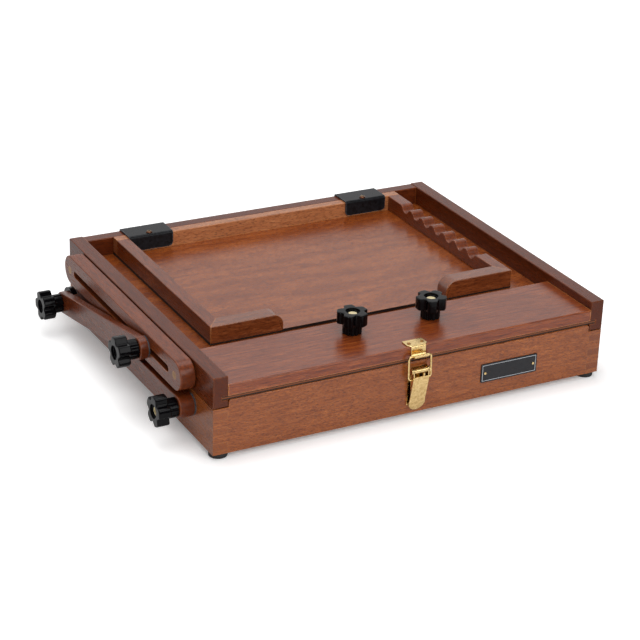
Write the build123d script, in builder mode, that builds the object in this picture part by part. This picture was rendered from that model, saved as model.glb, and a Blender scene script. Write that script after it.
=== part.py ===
"""Pochade box: a wooden painter's box with a hinged lid, a lid stay and a lift-out tray.

Millimetres, +Z up, +X to the right of the latch side, -Y towards the user.
The origin is the mouth of the tripod socket, in the middle of the underside.
"""
from build123d import *
import math
import os

os.makedirs("parts", exist_ok=True)

# ---- box ----
box_width = 400
box_depth = 335
wall_height = 44
wall_thickness = 14
front_lip_height = 7          # the front wall stands this far above the side walls
front_lip_inset = 0.5         # between the lip's ends and the lid's rails
lip_corner = 3
fingers = 3                   # side wall fingers at each corner
edge_ease = 0.8               # rounding of long wooden edges
panel_thickness = 5
panel_height = 3              # underside of the bottom panel above the wall's foot
groove_depth = 6
divider_thickness = 5
divider_height = 17.5
front_well = 102              # front wall's inner face to the long divider
cross_divider_spacing = 124
cleat_width = 10
cleat_height = 6
cleat_level = 26
palette_thickness = 5
palette_depth = 200
palette_gap = 0.6             # at each side of the palette

# ---- feet and tripod plate ----
foot_diameter = 17
foot_height = 5
foot_inset = 9
foot_ease = 1
foot_screw_radius = 1.5
foot_screw_head = 3
foot_screw_length = 12
plate_width = 60
plate_thickness = 2.6
socket_radius = 3.175
socket_wall = 3
socket_length = 7
plate_screw_inset = 8
plate_screw_length = 5

# ---- lid ----
parting_gap = 0.4
lid_height = 29.5
side_rail_width = 14
back_rail_width = 12.5
back_rail_drop = 0.7          # the back rail's top lies this far under the side rails
sheet_thickness = 3.3
sheet_level = 7.1             # underside of the sheet above the rails' foot
sheet_recess = 0.6            # front edge of the sheet behind the rails' ends
board_depth = 74
board_thickness = 11
board_ease = 1.5
board_knob_spacing = 81.4
board_knob_inset = 48.5
clamp_width = 30
clamp_thickness = 6
clamp_gap = 0.3
clamp_end_gap = 8
clamp_insert_wall = 2

# ---- lid stay ----
stay_washer = 1.2
bar_thickness = 14.3
bar_spacer = 1.0
bar_height = 28
bar_front_inset = 47          # front face of the box to the bar's front end centre
bar_back_inset = 41
bar_pin_radius = 3.5
bar_pin_depth = 8
slot_width = 6.4
slot_front_inset = 18.7       # bar's end centre to the slot's end centre
slot_back_inset = 16.7
slot_groove_width = 12
slot_groove_depth = 4.6
arm_width = 21
arm_ease = 1.0
lower_arm_thickness = 14
lower_arm_length = 252
upper_arm_thickness = 8
upper_arm_length = 190
pivot_inset = 44
pivot_height = 30
elbow_height = 25.5
elbow_disc_radius = 14
elbow_rebate = 4.3
stud_radius = 2.5
stud_fit = 0.05
stud_anchor = 11
bolt_head_radius = 5
bolt_head_height = 2.6
washer_radius = 10
seat_gap = 0.1
slot_washer = 1.0

# ---- knobs ----
knob_lobes = 5
knob_radius = 15.5
knob_lobe_radius = 5.6
knob_core_radius = 11
knob_head = 11.6
knob_shank = 9.4
knob_shank_radius = 9
knob_flutes = 10
knob_flute_radius = 1.3
knob_recess_radius = 6.5
knob_recess_depth = 2.4
knob_ease = 1.4
knob_gap = 0.3
insert_radius = 3.9
stud_in_knob = 15

# ---- hinges ----
hinge_spacing = 280
hinge_length = 50
hinge_knuckles = 5
knuckle_radius = 2.4
knuckle_gap = 0.3
hinge_axis_offset = 2.5       # pin's axis behind the back face
leaf_thickness = 1.2
leaf_height = 14
hinge_pin_radius = 1.25
hinge_screw_pitch = 16
screw_radius = 1.2
screw_head_radius = 2.4
screw_head_height = 0.8
screw_length = 6
screw_fit = 0.03

# ---- latch ----
latch_plate = 1.0
latch_base_width = 19
latch_base_foot = 9
latch_base_top = 46
lever_width = 16
lever_pin_height = 44
lever_pin_out = 5.5           # pin's axis in front of the front wall
lever_pin_radius = 1.6
ear_radius = 2.6
ear_gap = 0.3
lever_side = 1.0
lever_top = 39.5
lever_top_out = 8.3           # back of the lever's plate in front of the wall, at its top
lever_foot_out = 2.3          # and at the middle of its round end
lever_end_height = 11.4
lever_end_radius = 8.4
lever_flange_foot = 22
latch_screw_levels = (14, 31)
bail_radius = 1.0
bail_width = 22.8
bail_drop = 8                 # bail's feet under the lever's pin
bail_foot_out = 5.3
bail_rise = 22
bail_bend = 2.6
bail_foot_length = 4.6
bail_fit = 0.08
keeper_width = 20.6
keeper_depth = 12
keeper_tab_width = 15
hook_radius = 3.0
hook_height = 59.8
rivet_radius = 1.0
rivet_head_radius = 1.7
rivet_head_height = 0.7
rivet_spacing = 13.4
rivet_inset = 5.5
rivet_length = 6

# ---- name plate ----
name_plate_width = 60.5
name_plate_height = 18.5
name_plate_thickness = 1.0
name_plate_x = 98.5
name_plate_level = 24.2
name_plate_corner = 1.2
name_pin_spacing = 52
name_pin_radius = 0.7
name_pin_head = 1.2
name_pin_rise = 0.5

# ---- tray ----
tray_gap = 0.2                # under the tray and behind its rear bar
tray_width = 318
tray_front_inset = 95         # front face of the box to the tray's front
tray_floor_thickness = 3
tray_height = 18.5
tray_arm_width = 13
tray_return_depth = 16
tray_return_length = 60
return_corner = 11
rear_bar_width = 10.2
notches = 7
notch_pitch = 21.3
notch_depth = 6
notch_back = 35.7             # last notch's middle to the rear bar
clip_width = 44.8
left_clip_gap = 0.1           # arm's inner face to the clip's end
right_clip_gap = 6.8
clip_thickness = 1.6
clip_drop = 13
clip_bend = 1.5
clip_corner = 4.5
clip_gap = 0.3
clip_screw_radius = 1.5
clip_screw_head_radius = 3.2
clip_screw_head_height = 1.8
clip_screw_length = 9
clip_screw_setback = 3.5      # screw's middle behind the rear bar's inner face

# ---- what follows from the sizes ----
half_width = box_width / 2
half_depth = box_depth / 2
front = -half_depth
back = half_depth
inner_x = half_width - wall_thickness
inner_front = front + wall_thickness
inner_back = back - wall_thickness
finger = wall_height / (2 * fingers)
panel_top = panel_height + panel_thickness

lid_foot = wall_height + parting_gap
lid_top = lid_foot + lid_height
rail_inner = half_width - side_rail_width
back_rail_inner = back - back_rail_width
sheet_foot = lid_foot + sheet_level
sheet_top = sheet_foot + sheet_thickness
board_top = sheet_top + board_thickness
board_back = front + board_depth

UP, DOWN = (0, 0, 1), (0, 0, -1)
LEFT, RIGHT = (-1, 0, 0), (1, 0, 0)
FORWARD, BACKWARD = (0, -1, 0), (0, 1, 0)


def span(width, middle=0):
    """The low and high end of a width around its middle."""
    return (middle - width / 2, middle + width / 2)


def block(x, y, z, mode=Mode.ADD):
    """A block between the low and high ends on each axis."""
    size = [high - low for low, high in (x, y, z)]
    middle = [(high + low) / 2 for low, high in (x, y, z)]
    with Locations(tuple(middle)):
        Box(*size, mode=mode)


def rod(start, direction, radius, length, mode=Mode.ADD):
    """A round rod, or with Mode.SUBTRACT a round hole, from start along direction."""
    with Locations(Plane(origin=start, z_dir=direction)):
        Cylinder(radius, length, align=(Align.CENTER, Align.CENTER, Align.MIN), mode=mode)


def screw(seat, direction, head_radius, head_height, radius, length):
    """A headed fastener whose head lies under the seat and whose shank runs back from it."""
    inward = tuple(-value for value in direction)
    rod(seat, direction, head_radius, head_height)
    rod(seat, inward, radius, length)


def ease_corners(wall):
    """Round the upright edges of a wall's finger ends at the box's outer corners."""
    fillet(wall.edges().filter_by(Axis.Z).filter_by(lambda edge: abs(edge.center().X) > half_width - edge_ease
                                                    and abs(edge.center().Y) > half_depth - edge_ease), edge_ease)


pieces = {}


def finish(name, piece):
    """Label a finished piece and keep it for writing."""
    piece.part.label = name
    pieces[name] = piece.part


# ---- places that several pieces share ----
foot_places = [(x, y) for x in span(box_width - 2 * foot_inset) for y in span(box_depth - 2 * foot_inset)]
plate_screw_places = [(x, y) for x in span(plate_width - 2 * plate_screw_inset)
                      for y in span(plate_width - 2 * plate_screw_inset)]
panel_x = span(2 * (inner_x + groove_depth))
panel_y = span(box_depth - 2 * (wall_thickness - groove_depth))
panel_z = (panel_height, panel_top)
finger_bands = [((2 * n + 0.5) * finger, (2 * n + 1.5) * finger) for n in range(fingers)]

stay_face = -half_width                      # outer face of the walls and rails on the stay's side
bar_inner = stay_face - bar_spacer
bar_outer = bar_inner - bar_thickness
bar_middle = lid_foot + lid_height / 2
bar_front = front + bar_front_inset
bar_back = back - bar_back_inset
lower_inner = stay_face - stay_washer - seat_gap
lower_outer = lower_inner - lower_arm_thickness
upper_inner = min(bar_outer, lower_outer) - seat_gap - slot_washer
upper_outer = upper_inner - upper_arm_thickness
rebate_floor = lower_outer + elbow_rebate
pivot = (front + pivot_inset, pivot_height)
elbow = (pivot[0] + math.sqrt(lower_arm_length ** 2 - (pivot_height - elbow_height) ** 2), elbow_height)
slot_bolt_place = (elbow[0] - math.sqrt(upper_arm_length ** 2 - (bar_middle - elbow_height) ** 2), bar_middle)
stud_hole = stud_radius + stud_fit
rebate_radius = elbow_disc_radius + seat_gap

hinge_y = back + hinge_axis_offset
hinge_z = lid_foot
hinge_middles = span(hinge_spacing)
segment = hinge_length / hinge_knuckles
leaf_y = (back, back + leaf_thickness)
leaf_clear = knuckle_radius + knuckle_gap
screw_hole = screw_radius + screw_fit

lever_pin = (front - lever_pin_out, lever_pin_height)
bail_foot = (front - bail_foot_out, lever_pin_height - bail_drop)
hook_middle = front - latch_plate - hook_radius
rivet_places = [(x, front + rivet_inset) for x in span(rivet_spacing)]
name_pins = span(name_pin_spacing, name_plate_x)

board_knobs = [(x, front + board_knob_inset) for x in span(board_knob_spacing)]
clamp_top = sheet_foot - clamp_gap
clamp_foot = clamp_top - clamp_thickness

tray_foot = sheet_top + tray_gap
tray_floor_top = tray_foot + tray_floor_thickness
tray_top = tray_foot + tray_height
tray_front = front + tray_front_inset
tray_back = back_rail_inner - tray_gap
tray_half = tray_width / 2
arm_inner = tray_half - tray_arm_width
bar_face = tray_back - rear_bar_width
clip_middles = (-arm_inner + left_clip_gap + clip_width / 2, arm_inner - right_clip_gap - clip_width / 2)
clip_screw_places = [(x, bar_face + clip_screw_setback) for x in clip_middles]


# ================= box =================
with BuildPart() as front_wall:
    block(span(box_width), (front, inner_front), (0, wall_height))
    block(span(2 * (rail_inner - front_lip_inset)), (front, inner_front), (0, wall_height + front_lip_height))
    fillet(front_wall.edges().filter_by(Axis.Y).group_by(Axis.Z)[-1], lip_corner)
    fillet(front_wall.faces().sort_by(Axis.Y)[0].edges().group_by(Axis.Z)[-1], edge_ease)
    for x in ((-half_width, -inner_x), (inner_x, half_width)):
        for band in finger_bands:
            block(x, (front, inner_front), band, Mode.SUBTRACT)
    ease_corners(front_wall)
    block(panel_x, panel_y, panel_z, Mode.SUBTRACT)
    for x, y in foot_places:
        rod((x, y, 0), UP, foot_screw_radius + screw_fit, foot_screw_length, Mode.SUBTRACT)
    for x in name_pins:
        rod((x, front, name_plate_level), BACKWARD, name_pin_radius + screw_fit, rivet_length, Mode.SUBTRACT)
    for z in latch_screw_levels:
        rod((0, front, z), BACKWARD, rivet_radius + screw_fit, rivet_length, Mode.SUBTRACT)
finish("front_wall", front_wall)

with BuildPart() as back_wall:
    block(span(box_width), (inner_back, back), (0, wall_height))
    for x in ((-half_width, -inner_x), (inner_x, half_width)):
        for band in finger_bands:
            block(x, (inner_back, back), band, Mode.SUBTRACT)
    ease_corners(back_wall)
    block(panel_x, panel_y, panel_z, Mode.SUBTRACT)
    for x, y in foot_places:
        rod((x, y, 0), UP, foot_screw_radius + screw_fit, foot_screw_length, Mode.SUBTRACT)
    for middle in hinge_middles:
        for x in (middle - hinge_screw_pitch, middle, middle + hinge_screw_pitch):
            rod((x, back, hinge_z - leaf_height + leaf_height / 3), FORWARD, screw_hole, screw_length, Mode.SUBTRACT)
finish("back_wall", back_wall)

for name, side in (("left_wall", -1), ("right_wall", 1)):
    with BuildPart() as side_wall:
        wall_x = tuple(sorted((side * inner_x, side * half_width)))
        block(wall_x, (inner_front, inner_back), (0, wall_height))
        for band in finger_bands:
            block(wall_x, span(box_depth), band)
        ease_corners(side_wall)
        block(panel_x, panel_y, panel_z, Mode.SUBTRACT)
        for x, y in foot_places:
            rod((x, y, 0), UP, foot_screw_radius + screw_fit, foot_screw_length, Mode.SUBTRACT)
        rod((stay_face, *pivot), RIGHT, stud_hole, stud_anchor, Mode.SUBTRACT)
    finish(name, side_wall)

with BuildPart() as bottom_panel:
    block(panel_x, panel_y, panel_z)
    rod((0, 0, panel_height), UP, socket_radius + socket_wall, panel_thickness, Mode.SUBTRACT)
    for x, y in plate_screw_places:
        rod((x, y, panel_height), UP, screw_hole, plate_screw_length, Mode.SUBTRACT)
    for x, y in foot_places:
        rod((x, y, 0), UP, foot_screw_radius + screw_fit, foot_screw_length, Mode.SUBTRACT)
finish("bottom_panel", bottom_panel)

divider_middle = inner_front + front_well + divider_thickness / 2
divider_z = (panel_top, panel_top + divider_height)
with BuildPart() as long_divider:
    block(span(2 * inner_x), span(divider_thickness, divider_middle), divider_z)
finish("long_divider", long_divider)

with BuildPart() as cross_dividers:
    for middle in span(cross_divider_spacing):
        block(span(divider_thickness, middle), (divider_middle + divider_thickness / 2, inner_back), divider_z)
finish("cross_dividers", cross_dividers)

cleat_top = cleat_level + cleat_height
with BuildPart() as palette_cleats:
    for x in ((-inner_x, cleat_width - inner_x), (inner_x - cleat_width, inner_x)):
        block(x, (inner_front, inner_back), (cleat_level, cleat_top))
finish("palette_cleats", palette_cleats)

palette_foot = cleat_top + clamp_gap
with BuildPart() as palette:
    block(span(2 * (inner_x - palette_gap)), (inner_back - palette_gap - palette_depth, inner_back - palette_gap),
          (palette_foot, palette_foot + palette_thickness))
    fillet(palette.edges().filter_by(Axis.Z), lip_corner)
finish("palette", palette)

# ---- feet and tripod plate ----
with BuildPart() as rubber_feet:
    for x, y in foot_places:
        rod((x, y, 0), DOWN, foot_diameter / 2, foot_height)
    fillet(rubber_feet.edges().filter_by(GeomType.CIRCLE).group_by(Axis.Z)[0], foot_ease)
    for x, y in foot_places:
        rod((x, y, 0), DOWN, foot_screw_radius + screw_fit, foot_height, Mode.SUBTRACT)
        rod((x, y, -foot_height / 2), DOWN, foot_screw_head + screw_fit, foot_height, Mode.SUBTRACT)
finish("rubber_feet", rubber_feet)

with BuildPart() as foot_screws:
    for x, y in foot_places:
        screw((x, y, -foot_height / 2), DOWN, foot_screw_head, screw_head_height, foot_screw_radius,
              foot_screw_length + foot_height / 2)
finish("foot_screws", foot_screws)

with BuildPart() as tripod_plate:
    block(span(plate_width), span(plate_width), (panel_height - plate_thickness, panel_height))
    fillet(tripod_plate.edges().filter_by(Axis.Z), lip_corner)
    rod((0, 0, 0), UP, socket_radius + socket_wall, socket_length + latch_plate)
    rod((0, 0, 0), UP, socket_radius, socket_length, Mode.SUBTRACT)
    for x, y in plate_screw_places:
        rod((x, y, 0), UP, screw_hole, panel_height, Mode.SUBTRACT)
finish("tripod_plate", tripod_plate)

with BuildPart() as tripod_screws:
    for x, y in plate_screw_places:
        rod((x, y, panel_height - plate_thickness), DOWN, screw_head_radius, panel_height - plate_thickness)
        rod((x, y, 0), UP, screw_radius, panel_height + plate_screw_length)
finish("tripod_screws", tripod_screws)

# ---- name plate, bare ----
name_plate_y = (front - name_plate_thickness, front)
with BuildPart() as name_plate:
    block(span(name_plate_width, name_plate_x), name_plate_y, span(name_plate_height, name_plate_level))
    fillet(name_plate.edges().filter_by(Axis.Y), name_plate_corner)
    for x in name_pins:
        rod((x, front, name_plate_level), FORWARD, name_pin_radius + screw_fit, name_plate_thickness, Mode.SUBTRACT)
finish("name_plate", name_plate)

with BuildPart() as name_plate_pins:
    for x in name_pins:
        screw((x, front - name_plate_thickness, name_plate_level), FORWARD, name_pin_head, name_pin_rise,
              name_pin_radius, rivet_length)
finish("name_plate_pins", name_plate_pins)

# ---- fixed half of the hinges ----
with BuildPart() as box_hinge_leaves:
    for middle in hinge_middles:
        low = middle - hinge_length / 2
        block(span(hinge_length, middle), leaf_y, (hinge_z - leaf_height, hinge_z - leaf_clear))
        for n in range(0, hinge_knuckles, 2):
            x = (low + n * segment + knuckle_gap / 2, low + (n + 1) * segment - knuckle_gap / 2)
            block(x, leaf_y, (hinge_z - leaf_clear, hinge_z))
            rod((x[0], hinge_y, hinge_z), RIGHT, knuckle_radius, x[1] - x[0])
        rod((low, hinge_y, hinge_z), RIGHT, hinge_pin_radius + screw_fit, hinge_length, Mode.SUBTRACT)
        for x in (middle - hinge_screw_pitch, middle, middle + hinge_screw_pitch):
            rod((x, back, hinge_z - leaf_height + leaf_height / 3), BACKWARD, screw_hole, leaf_thickness, Mode.SUBTRACT)
finish("box_hinge_leaves", box_hinge_leaves)

with BuildPart() as hinge_pins:
    for middle in hinge_middles:
        rod((middle - hinge_length / 2, hinge_y, hinge_z), RIGHT, hinge_pin_radius, hinge_length)
finish("hinge_pins", hinge_pins)

with BuildPart() as box_hinge_screws:
    for middle in hinge_middles:
        for x in (middle - hinge_screw_pitch, middle, middle + hinge_screw_pitch):
            screw((x, back + leaf_thickness, hinge_z - leaf_height + leaf_height / 3), BACKWARD,
                  screw_head_radius, screw_head_height, screw_radius, screw_length)
finish("box_hinge_screws", box_hinge_screws)

# ---- draw latch on the box ----
ear_inner = lever_width / 2 + ear_gap
ear_x = [(-ear_inner - latch_plate, -ear_inner), (ear_inner, ear_inner + latch_plate)]
base_face = front - latch_plate
with BuildPart() as latch_base:
    block(span(latch_base_width), (base_face, front), (latch_base_foot, latch_base_top))
    for x in ear_x:
        block(x, (lever_pin[0], base_face), span(2 * ear_radius, lever_pin_height))
        rod((x[0], *lever_pin), RIGHT, ear_radius, latch_plate)
    rod((-half_width, *lever_pin), RIGHT, lever_pin_radius, box_width, Mode.SUBTRACT)
    for z in latch_screw_levels:
        rod((0, front, z), FORWARD, rivet_radius + screw_fit, latch_plate, Mode.SUBTRACT)
finish("latch_base", latch_base)

with BuildPart() as latch_base_screws:
    for z in latch_screw_levels:
        screw((0, base_face, z), FORWARD, rivet_head_radius, rivet_head_height, rivet_radius, rivet_length)
finish("latch_base_screws", latch_base_screws)

with BuildPart() as lever_pivot_pin:
    rod((ear_x[0][0], *lever_pin), RIGHT, lever_pin_radius, ear_x[1][1] - ear_x[0][0])
finish("lever_pivot_pin", lever_pivot_pin)

# ---- lever: a folded plate with two side flanges and a round thumb end ----
lever_half = lever_width / 2
lever_slope = (lever_top_out - lever_foot_out) / (lever_top - lever_end_height)


def lever_back(z):
    """Where the back of the lever's plate lies at height z."""
    return front - lever_foot_out - (z - lever_end_height) * lever_slope


lever_face = Plane(origin=(0, front - lever_foot_out, lever_end_height), x_dir=RIGHT, z_dir=(0, -1, -lever_slope))
lever_run = math.hypot(lever_top - lever_end_height, lever_top_out - lever_foot_out)
with BuildPart() as latch_lever:
    with BuildSketch(lever_face):
        Rectangle(lever_width, lever_run, align=(Align.CENTER, Align.MIN))
        Circle(lever_end_radius)
    extrude(amount=lever_side)
    for x in (-lever_half, lever_half - lever_side):
        with BuildSketch(Plane.YZ.offset(x)):
            with Locations(lever_pin):
                Circle(ear_radius)
            Polygon((lever_pin[0] - ear_radius, lever_pin_height), (lever_pin[0] + ear_radius, lever_pin_height),
                    (bail_foot[0] + ear_radius, bail_foot[1]), (lever_back(lever_flange_foot), lever_flange_foot),
                    (lever_back(lever_top), lever_top), align=None)
        extrude(amount=lever_side)
    rod((-half_width, *lever_pin), RIGHT, lever_pin_radius + stud_fit, box_width, Mode.SUBTRACT)
    rod((-half_width, *bail_foot), RIGHT, bail_radius + bail_fit, box_width, Mode.SUBTRACT)
finish("latch_lever", latch_lever)

bail_top = (hook_middle, bail_foot[1] + bail_rise)
bail_half = bail_width / 2
bail_end = bail_half - bail_foot_length
with BuildPart() as latch_bail:
    with BuildLine():
        wire = FilletPolyline((-bail_end, *bail_foot), (-bail_half, *bail_foot), (-bail_half, *bail_top),
                              (bail_half, *bail_top), (bail_half, *bail_foot), (bail_end, *bail_foot),
                              radius=bail_bend)
    with BuildSketch(Plane(origin=wire @ 0, z_dir=wire % 0)):
        Circle(bail_radius)
    sweep()
finish("latch_bail", latch_bail)

# ================= lid =================
bar_pins = [(bar_front, bar_middle), (bar_back, bar_middle)]
for name, side in (("lid_left_rail", -1), ("lid_right_rail", 1)):
    with BuildPart() as rail:
        block(tuple(sorted((side * rail_inner, side * half_width))), span(box_depth), (lid_foot, lid_top))
        fillet(rail.edges().filter_by(Axis.Y) + rail.edges().filter_by(Axis.Z), edge_ease)
        block(span(2 * (rail_inner + groove_depth)), (front, back_rail_inner + groove_depth),
              (sheet_foot, sheet_top), Mode.SUBTRACT)
        for place in bar_pins:
            rod((stay_face, *place), RIGHT, bar_pin_radius, bar_pin_depth, Mode.SUBTRACT)
    finish(name, rail)

lid_screw_z = hinge_z + leaf_height - leaf_height / 3
with BuildPart() as lid_back_rail:
    block(span(2 * rail_inner), (back_rail_inner, back), (lid_foot, lid_top - back_rail_drop))
    fillet(lid_back_rail.edges().filter_by(Axis.X).group_by(Axis.Z)[-1], edge_ease)
    block(span(2 * rail_inner), (back_rail_inner, back_rail_inner + groove_depth), (sheet_foot, sheet_top),
          Mode.SUBTRACT)
    for middle in hinge_middles:
        for x in (middle - hinge_screw_pitch, middle, middle + hinge_screw_pitch):
            rod((x, back, lid_screw_z), FORWARD, screw_hole, screw_length, Mode.SUBTRACT)
finish("lid_back_rail", lid_back_rail)

with BuildPart() as lid_sheet:
    block(span(2 * (rail_inner + groove_depth)), (front + sheet_recess, back_rail_inner + groove_depth),
          (sheet_foot, sheet_top))
    for x, y in board_knobs:
        rod((x, y, sheet_foot), UP, stud_radius + knob_gap, sheet_thickness, Mode.SUBTRACT)
finish("lid_sheet", lid_sheet)

with BuildPart() as front_board:
    block(span(2 * rail_inner), (front, board_back), (sheet_top, board_top))
    fillet(front_board.edges().filter_by(Axis.X).group_by(Axis.Z)[-1], board_ease)
    for x, y in board_knobs:
        rod((x, y, sheet_top), UP, stud_radius + knob_gap, board_thickness, Mode.SUBTRACT)
    for x, y in rivet_places:
        rod((x, y, board_top), DOWN, rivet_radius + screw_fit, rivet_length, Mode.SUBTRACT)
finish("front_board", front_board)

with BuildPart() as slotted_bar:
    with BuildSketch(Plane.YZ.offset(bar_outer)):
        with Locations(((bar_front + bar_back) / 2, bar_middle)):
            SlotCenterToCenter(bar_back - bar_front, bar_height)
    extrude(amount=bar_thickness)
    fillet(slotted_bar.faces().filter_by(Axis.X).edges(), arm_ease)
    slot_front = bar_front + slot_front_inset - slot_width / 2
    slot_back = bar_back - slot_back_inset + slot_width / 2
    slot_middle = ((slot_front + slot_back) / 2, bar_middle)
    with BuildSketch(Plane.YZ.offset(bar_outer)):
        with Locations(slot_middle):
            SlotCenterToCenter(slot_back - slot_front, slot_width)
    extrude(amount=bar_thickness, mode=Mode.SUBTRACT)
    with BuildSketch(Plane.YZ.offset(bar_inner)):
        with Locations(slot_middle):
            SlotCenterToCenter(slot_back - slot_front, slot_groove_width)
    extrude(amount=-slot_groove_depth, mode=Mode.SUBTRACT)
    for place in bar_pins:
        rod((bar_outer, *place), RIGHT, bar_pin_radius, bar_thickness, Mode.SUBTRACT)
finish("slotted_bar", slotted_bar)

with BuildPart() as bar_fixing_pins:
    for place in bar_pins:
        rod((bar_outer, *place), RIGHT, bar_pin_radius, bar_thickness + bar_spacer + bar_pin_depth)
        rod((bar_inner, *place), RIGHT, washer_radius, bar_spacer)
finish("bar_fixing_pins", bar_fixing_pins)

with BuildPart() as lid_hinge_leaves:
    for middle in hinge_middles:
        low = middle - hinge_length / 2
        block(span(hinge_length, middle), leaf_y, (hinge_z + leaf_clear, hinge_z + leaf_height))
        for n in range(1, hinge_knuckles, 2):
            x = (low + n * segment + knuckle_gap / 2, low + (n + 1) * segment - knuckle_gap / 2)
            block(x, leaf_y, (hinge_z, hinge_z + leaf_clear))
            rod((x[0], hinge_y, hinge_z), RIGHT, knuckle_radius, x[1] - x[0])
        rod((low, hinge_y, hinge_z), RIGHT, hinge_pin_radius + stud_fit, hinge_length, Mode.SUBTRACT)
        for x in (middle - hinge_screw_pitch, middle, middle + hinge_screw_pitch):
            rod((x, back, lid_screw_z), BACKWARD, screw_hole, leaf_thickness, Mode.SUBTRACT)
finish("lid_hinge_leaves", lid_hinge_leaves)

with BuildPart() as lid_hinge_screws:
    for middle in hinge_middles:
        for x in (middle - hinge_screw_pitch, middle, middle + hinge_screw_pitch):
            screw((x, back + leaf_thickness, lid_screw_z), BACKWARD, screw_head_radius, screw_head_height,
                  screw_radius, screw_length)
finish("lid_hinge_screws", lid_hinge_screws)

# ---- latch keeper with its hook ----
tab_half = keeper_tab_width / 2
keeper_half = keeper_width / 2
shoulder = front + keeper_half - tab_half
with BuildPart() as latch_keeper:
    with BuildSketch(Plane.XY.offset(board_top)):
        Polygon((-keeper_half, front + keeper_depth), (-keeper_half, shoulder), (-tab_half, front),
                (tab_half, front), (keeper_half, shoulder), (keeper_half, front + keeper_depth), align=None)
    extrude(amount=latch_plate)
    fillet(latch_keeper.edges().filter_by(Axis.Z).group_by(Axis.Y)[-1], edge_ease)
    block(span(keeper_tab_width), (base_face, front), (hook_height, board_top + latch_plate))
    with BuildSketch(Plane.YZ.offset(-tab_half)):
        with Locations((hook_middle, hook_height)):
            Circle(hook_radius + latch_plate)
            Circle(hook_radius, mode=Mode.SUBTRACT)
            Rectangle(3 * hook_radius, 2 * hook_radius, align=(Align.CENTER, Align.MIN), mode=Mode.SUBTRACT)
    extrude(amount=keeper_tab_width)
    for x, y in rivet_places:
        rod((x, y, board_top), UP, rivet_radius + screw_fit, latch_plate, Mode.SUBTRACT)
finish("latch_keeper", latch_keeper)

with BuildPart() as keeper_rivets:
    for x, y in rivet_places:
        screw((x, y, board_top + latch_plate), UP, rivet_head_radius, rivet_head_height, rivet_radius, rivet_length)
finish("keeper_rivets", keeper_rivets)

# ---- canvas clamp under the lid ----
clamp_y = span(clamp_width, front + board_knob_inset)
with BuildPart() as canvas_clamp:
    block(span(2 * (rail_inner - clamp_end_gap)), clamp_y, (clamp_foot, clamp_top))
    fillet(canvas_clamp.edges().filter_by(Axis.X), edge_ease)
    for x, y in board_knobs:
        rod((x, y, clamp_foot), UP, stud_hole + clamp_insert_wall, clamp_thickness, Mode.SUBTRACT)
finish("canvas_clamp", canvas_clamp)

with BuildPart() as clamp_inserts:
    for x, y in board_knobs:
        rod((x, y, clamp_foot), UP, stud_hole + clamp_insert_wall, clamp_thickness)
        rod((x, y, clamp_foot), UP, stud_hole, clamp_thickness, Mode.SUBTRACT)
finish("clamp_inserts", clamp_inserts)

# ================= lid stay =================
with BuildPart() as pivot_stud:
    stud_end = lower_outer - knob_gap - stud_in_knob
    rod((stud_end, *pivot), RIGHT, stud_radius, stay_face + stud_anchor - stud_end)
finish("pivot_stud", pivot_stud)

with BuildPart() as pivot_washer:
    rod((stay_face - stay_washer, *pivot), RIGHT, washer_radius, stay_washer)
    rod((stay_face - stay_washer, *pivot), RIGHT, stud_hole, stay_washer, Mode.SUBTRACT)
finish("pivot_washer", pivot_washer)


def arm_angle(start, end):
    """Tilt of an arm in the side view, in degrees."""
    return math.degrees(math.atan2(end[1] - start[1], end[0] - start[0]))


with BuildPart() as lower_arm:
    with BuildSketch(Plane.YZ.offset(lower_outer)):
        with Locations(((pivot[0] + elbow[0]) / 2, (pivot[1] + elbow[1]) / 2)):
            SlotCenterToCenter(lower_arm_length, arm_width, rotation=arm_angle(pivot, elbow))
    extrude(amount=lower_arm_thickness)
    fillet(lower_arm.faces().filter_by(Axis.X).edges(), arm_ease)
    rod((lower_outer, *elbow), RIGHT, rebate_radius, elbow_rebate, Mode.SUBTRACT)
    for place in (pivot, elbow):
        rod((lower_outer, *place), RIGHT, stud_hole, lower_arm_thickness, Mode.SUBTRACT)
    rod((lower_inner, *elbow), LEFT, bolt_head_radius + seat_gap, bolt_head_height, Mode.SUBTRACT)
finish("lower_arm", lower_arm)

elbow_disc_face = upper_inner + seat_gap
with BuildPart() as elbow_disc:
    rod((elbow_disc_face, *elbow), RIGHT, elbow_disc_radius, rebate_floor - elbow_disc_face)
    rod((elbow_disc_face, *elbow), RIGHT, stud_hole, rebate_floor - elbow_disc_face, Mode.SUBTRACT)
finish("elbow_disc", elbow_disc)

upper_stud_end = upper_outer - knob_gap - stud_in_knob
with BuildPart() as elbow_bolt:
    rod((lower_inner, *elbow), LEFT, bolt_head_radius, bolt_head_height)
    rod((upper_stud_end, *elbow), RIGHT, stud_radius, lower_inner - upper_stud_end)
finish("elbow_bolt", elbow_bolt)

with BuildPart() as upper_arm:
    with BuildSketch(Plane.YZ.offset(upper_outer)):
        with Locations(((slot_bolt_place[0] + elbow[0]) / 2, (slot_bolt_place[1] + elbow[1]) / 2)):
            SlotCenterToCenter(upper_arm_length, arm_width, rotation=arm_angle(slot_bolt_place, elbow))
    extrude(amount=upper_arm_thickness)
    fillet(upper_arm.faces().filter_by(Axis.X).edges(), arm_ease)
    for place in (slot_bolt_place, elbow):
        rod((upper_outer, *place), RIGHT, stud_hole, upper_arm_thickness, Mode.SUBTRACT)
finish("upper_arm", upper_arm)

groove_floor = bar_inner - slot_groove_depth
with BuildPart() as slot_bolt:
    rod((groove_floor + knob_gap, *slot_bolt_place), RIGHT, bolt_head_radius, bolt_head_height)
    rod((upper_stud_end, *slot_bolt_place), RIGHT, stud_radius, groove_floor + knob_gap - upper_stud_end)
finish("slot_bolt", slot_bolt)

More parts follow.
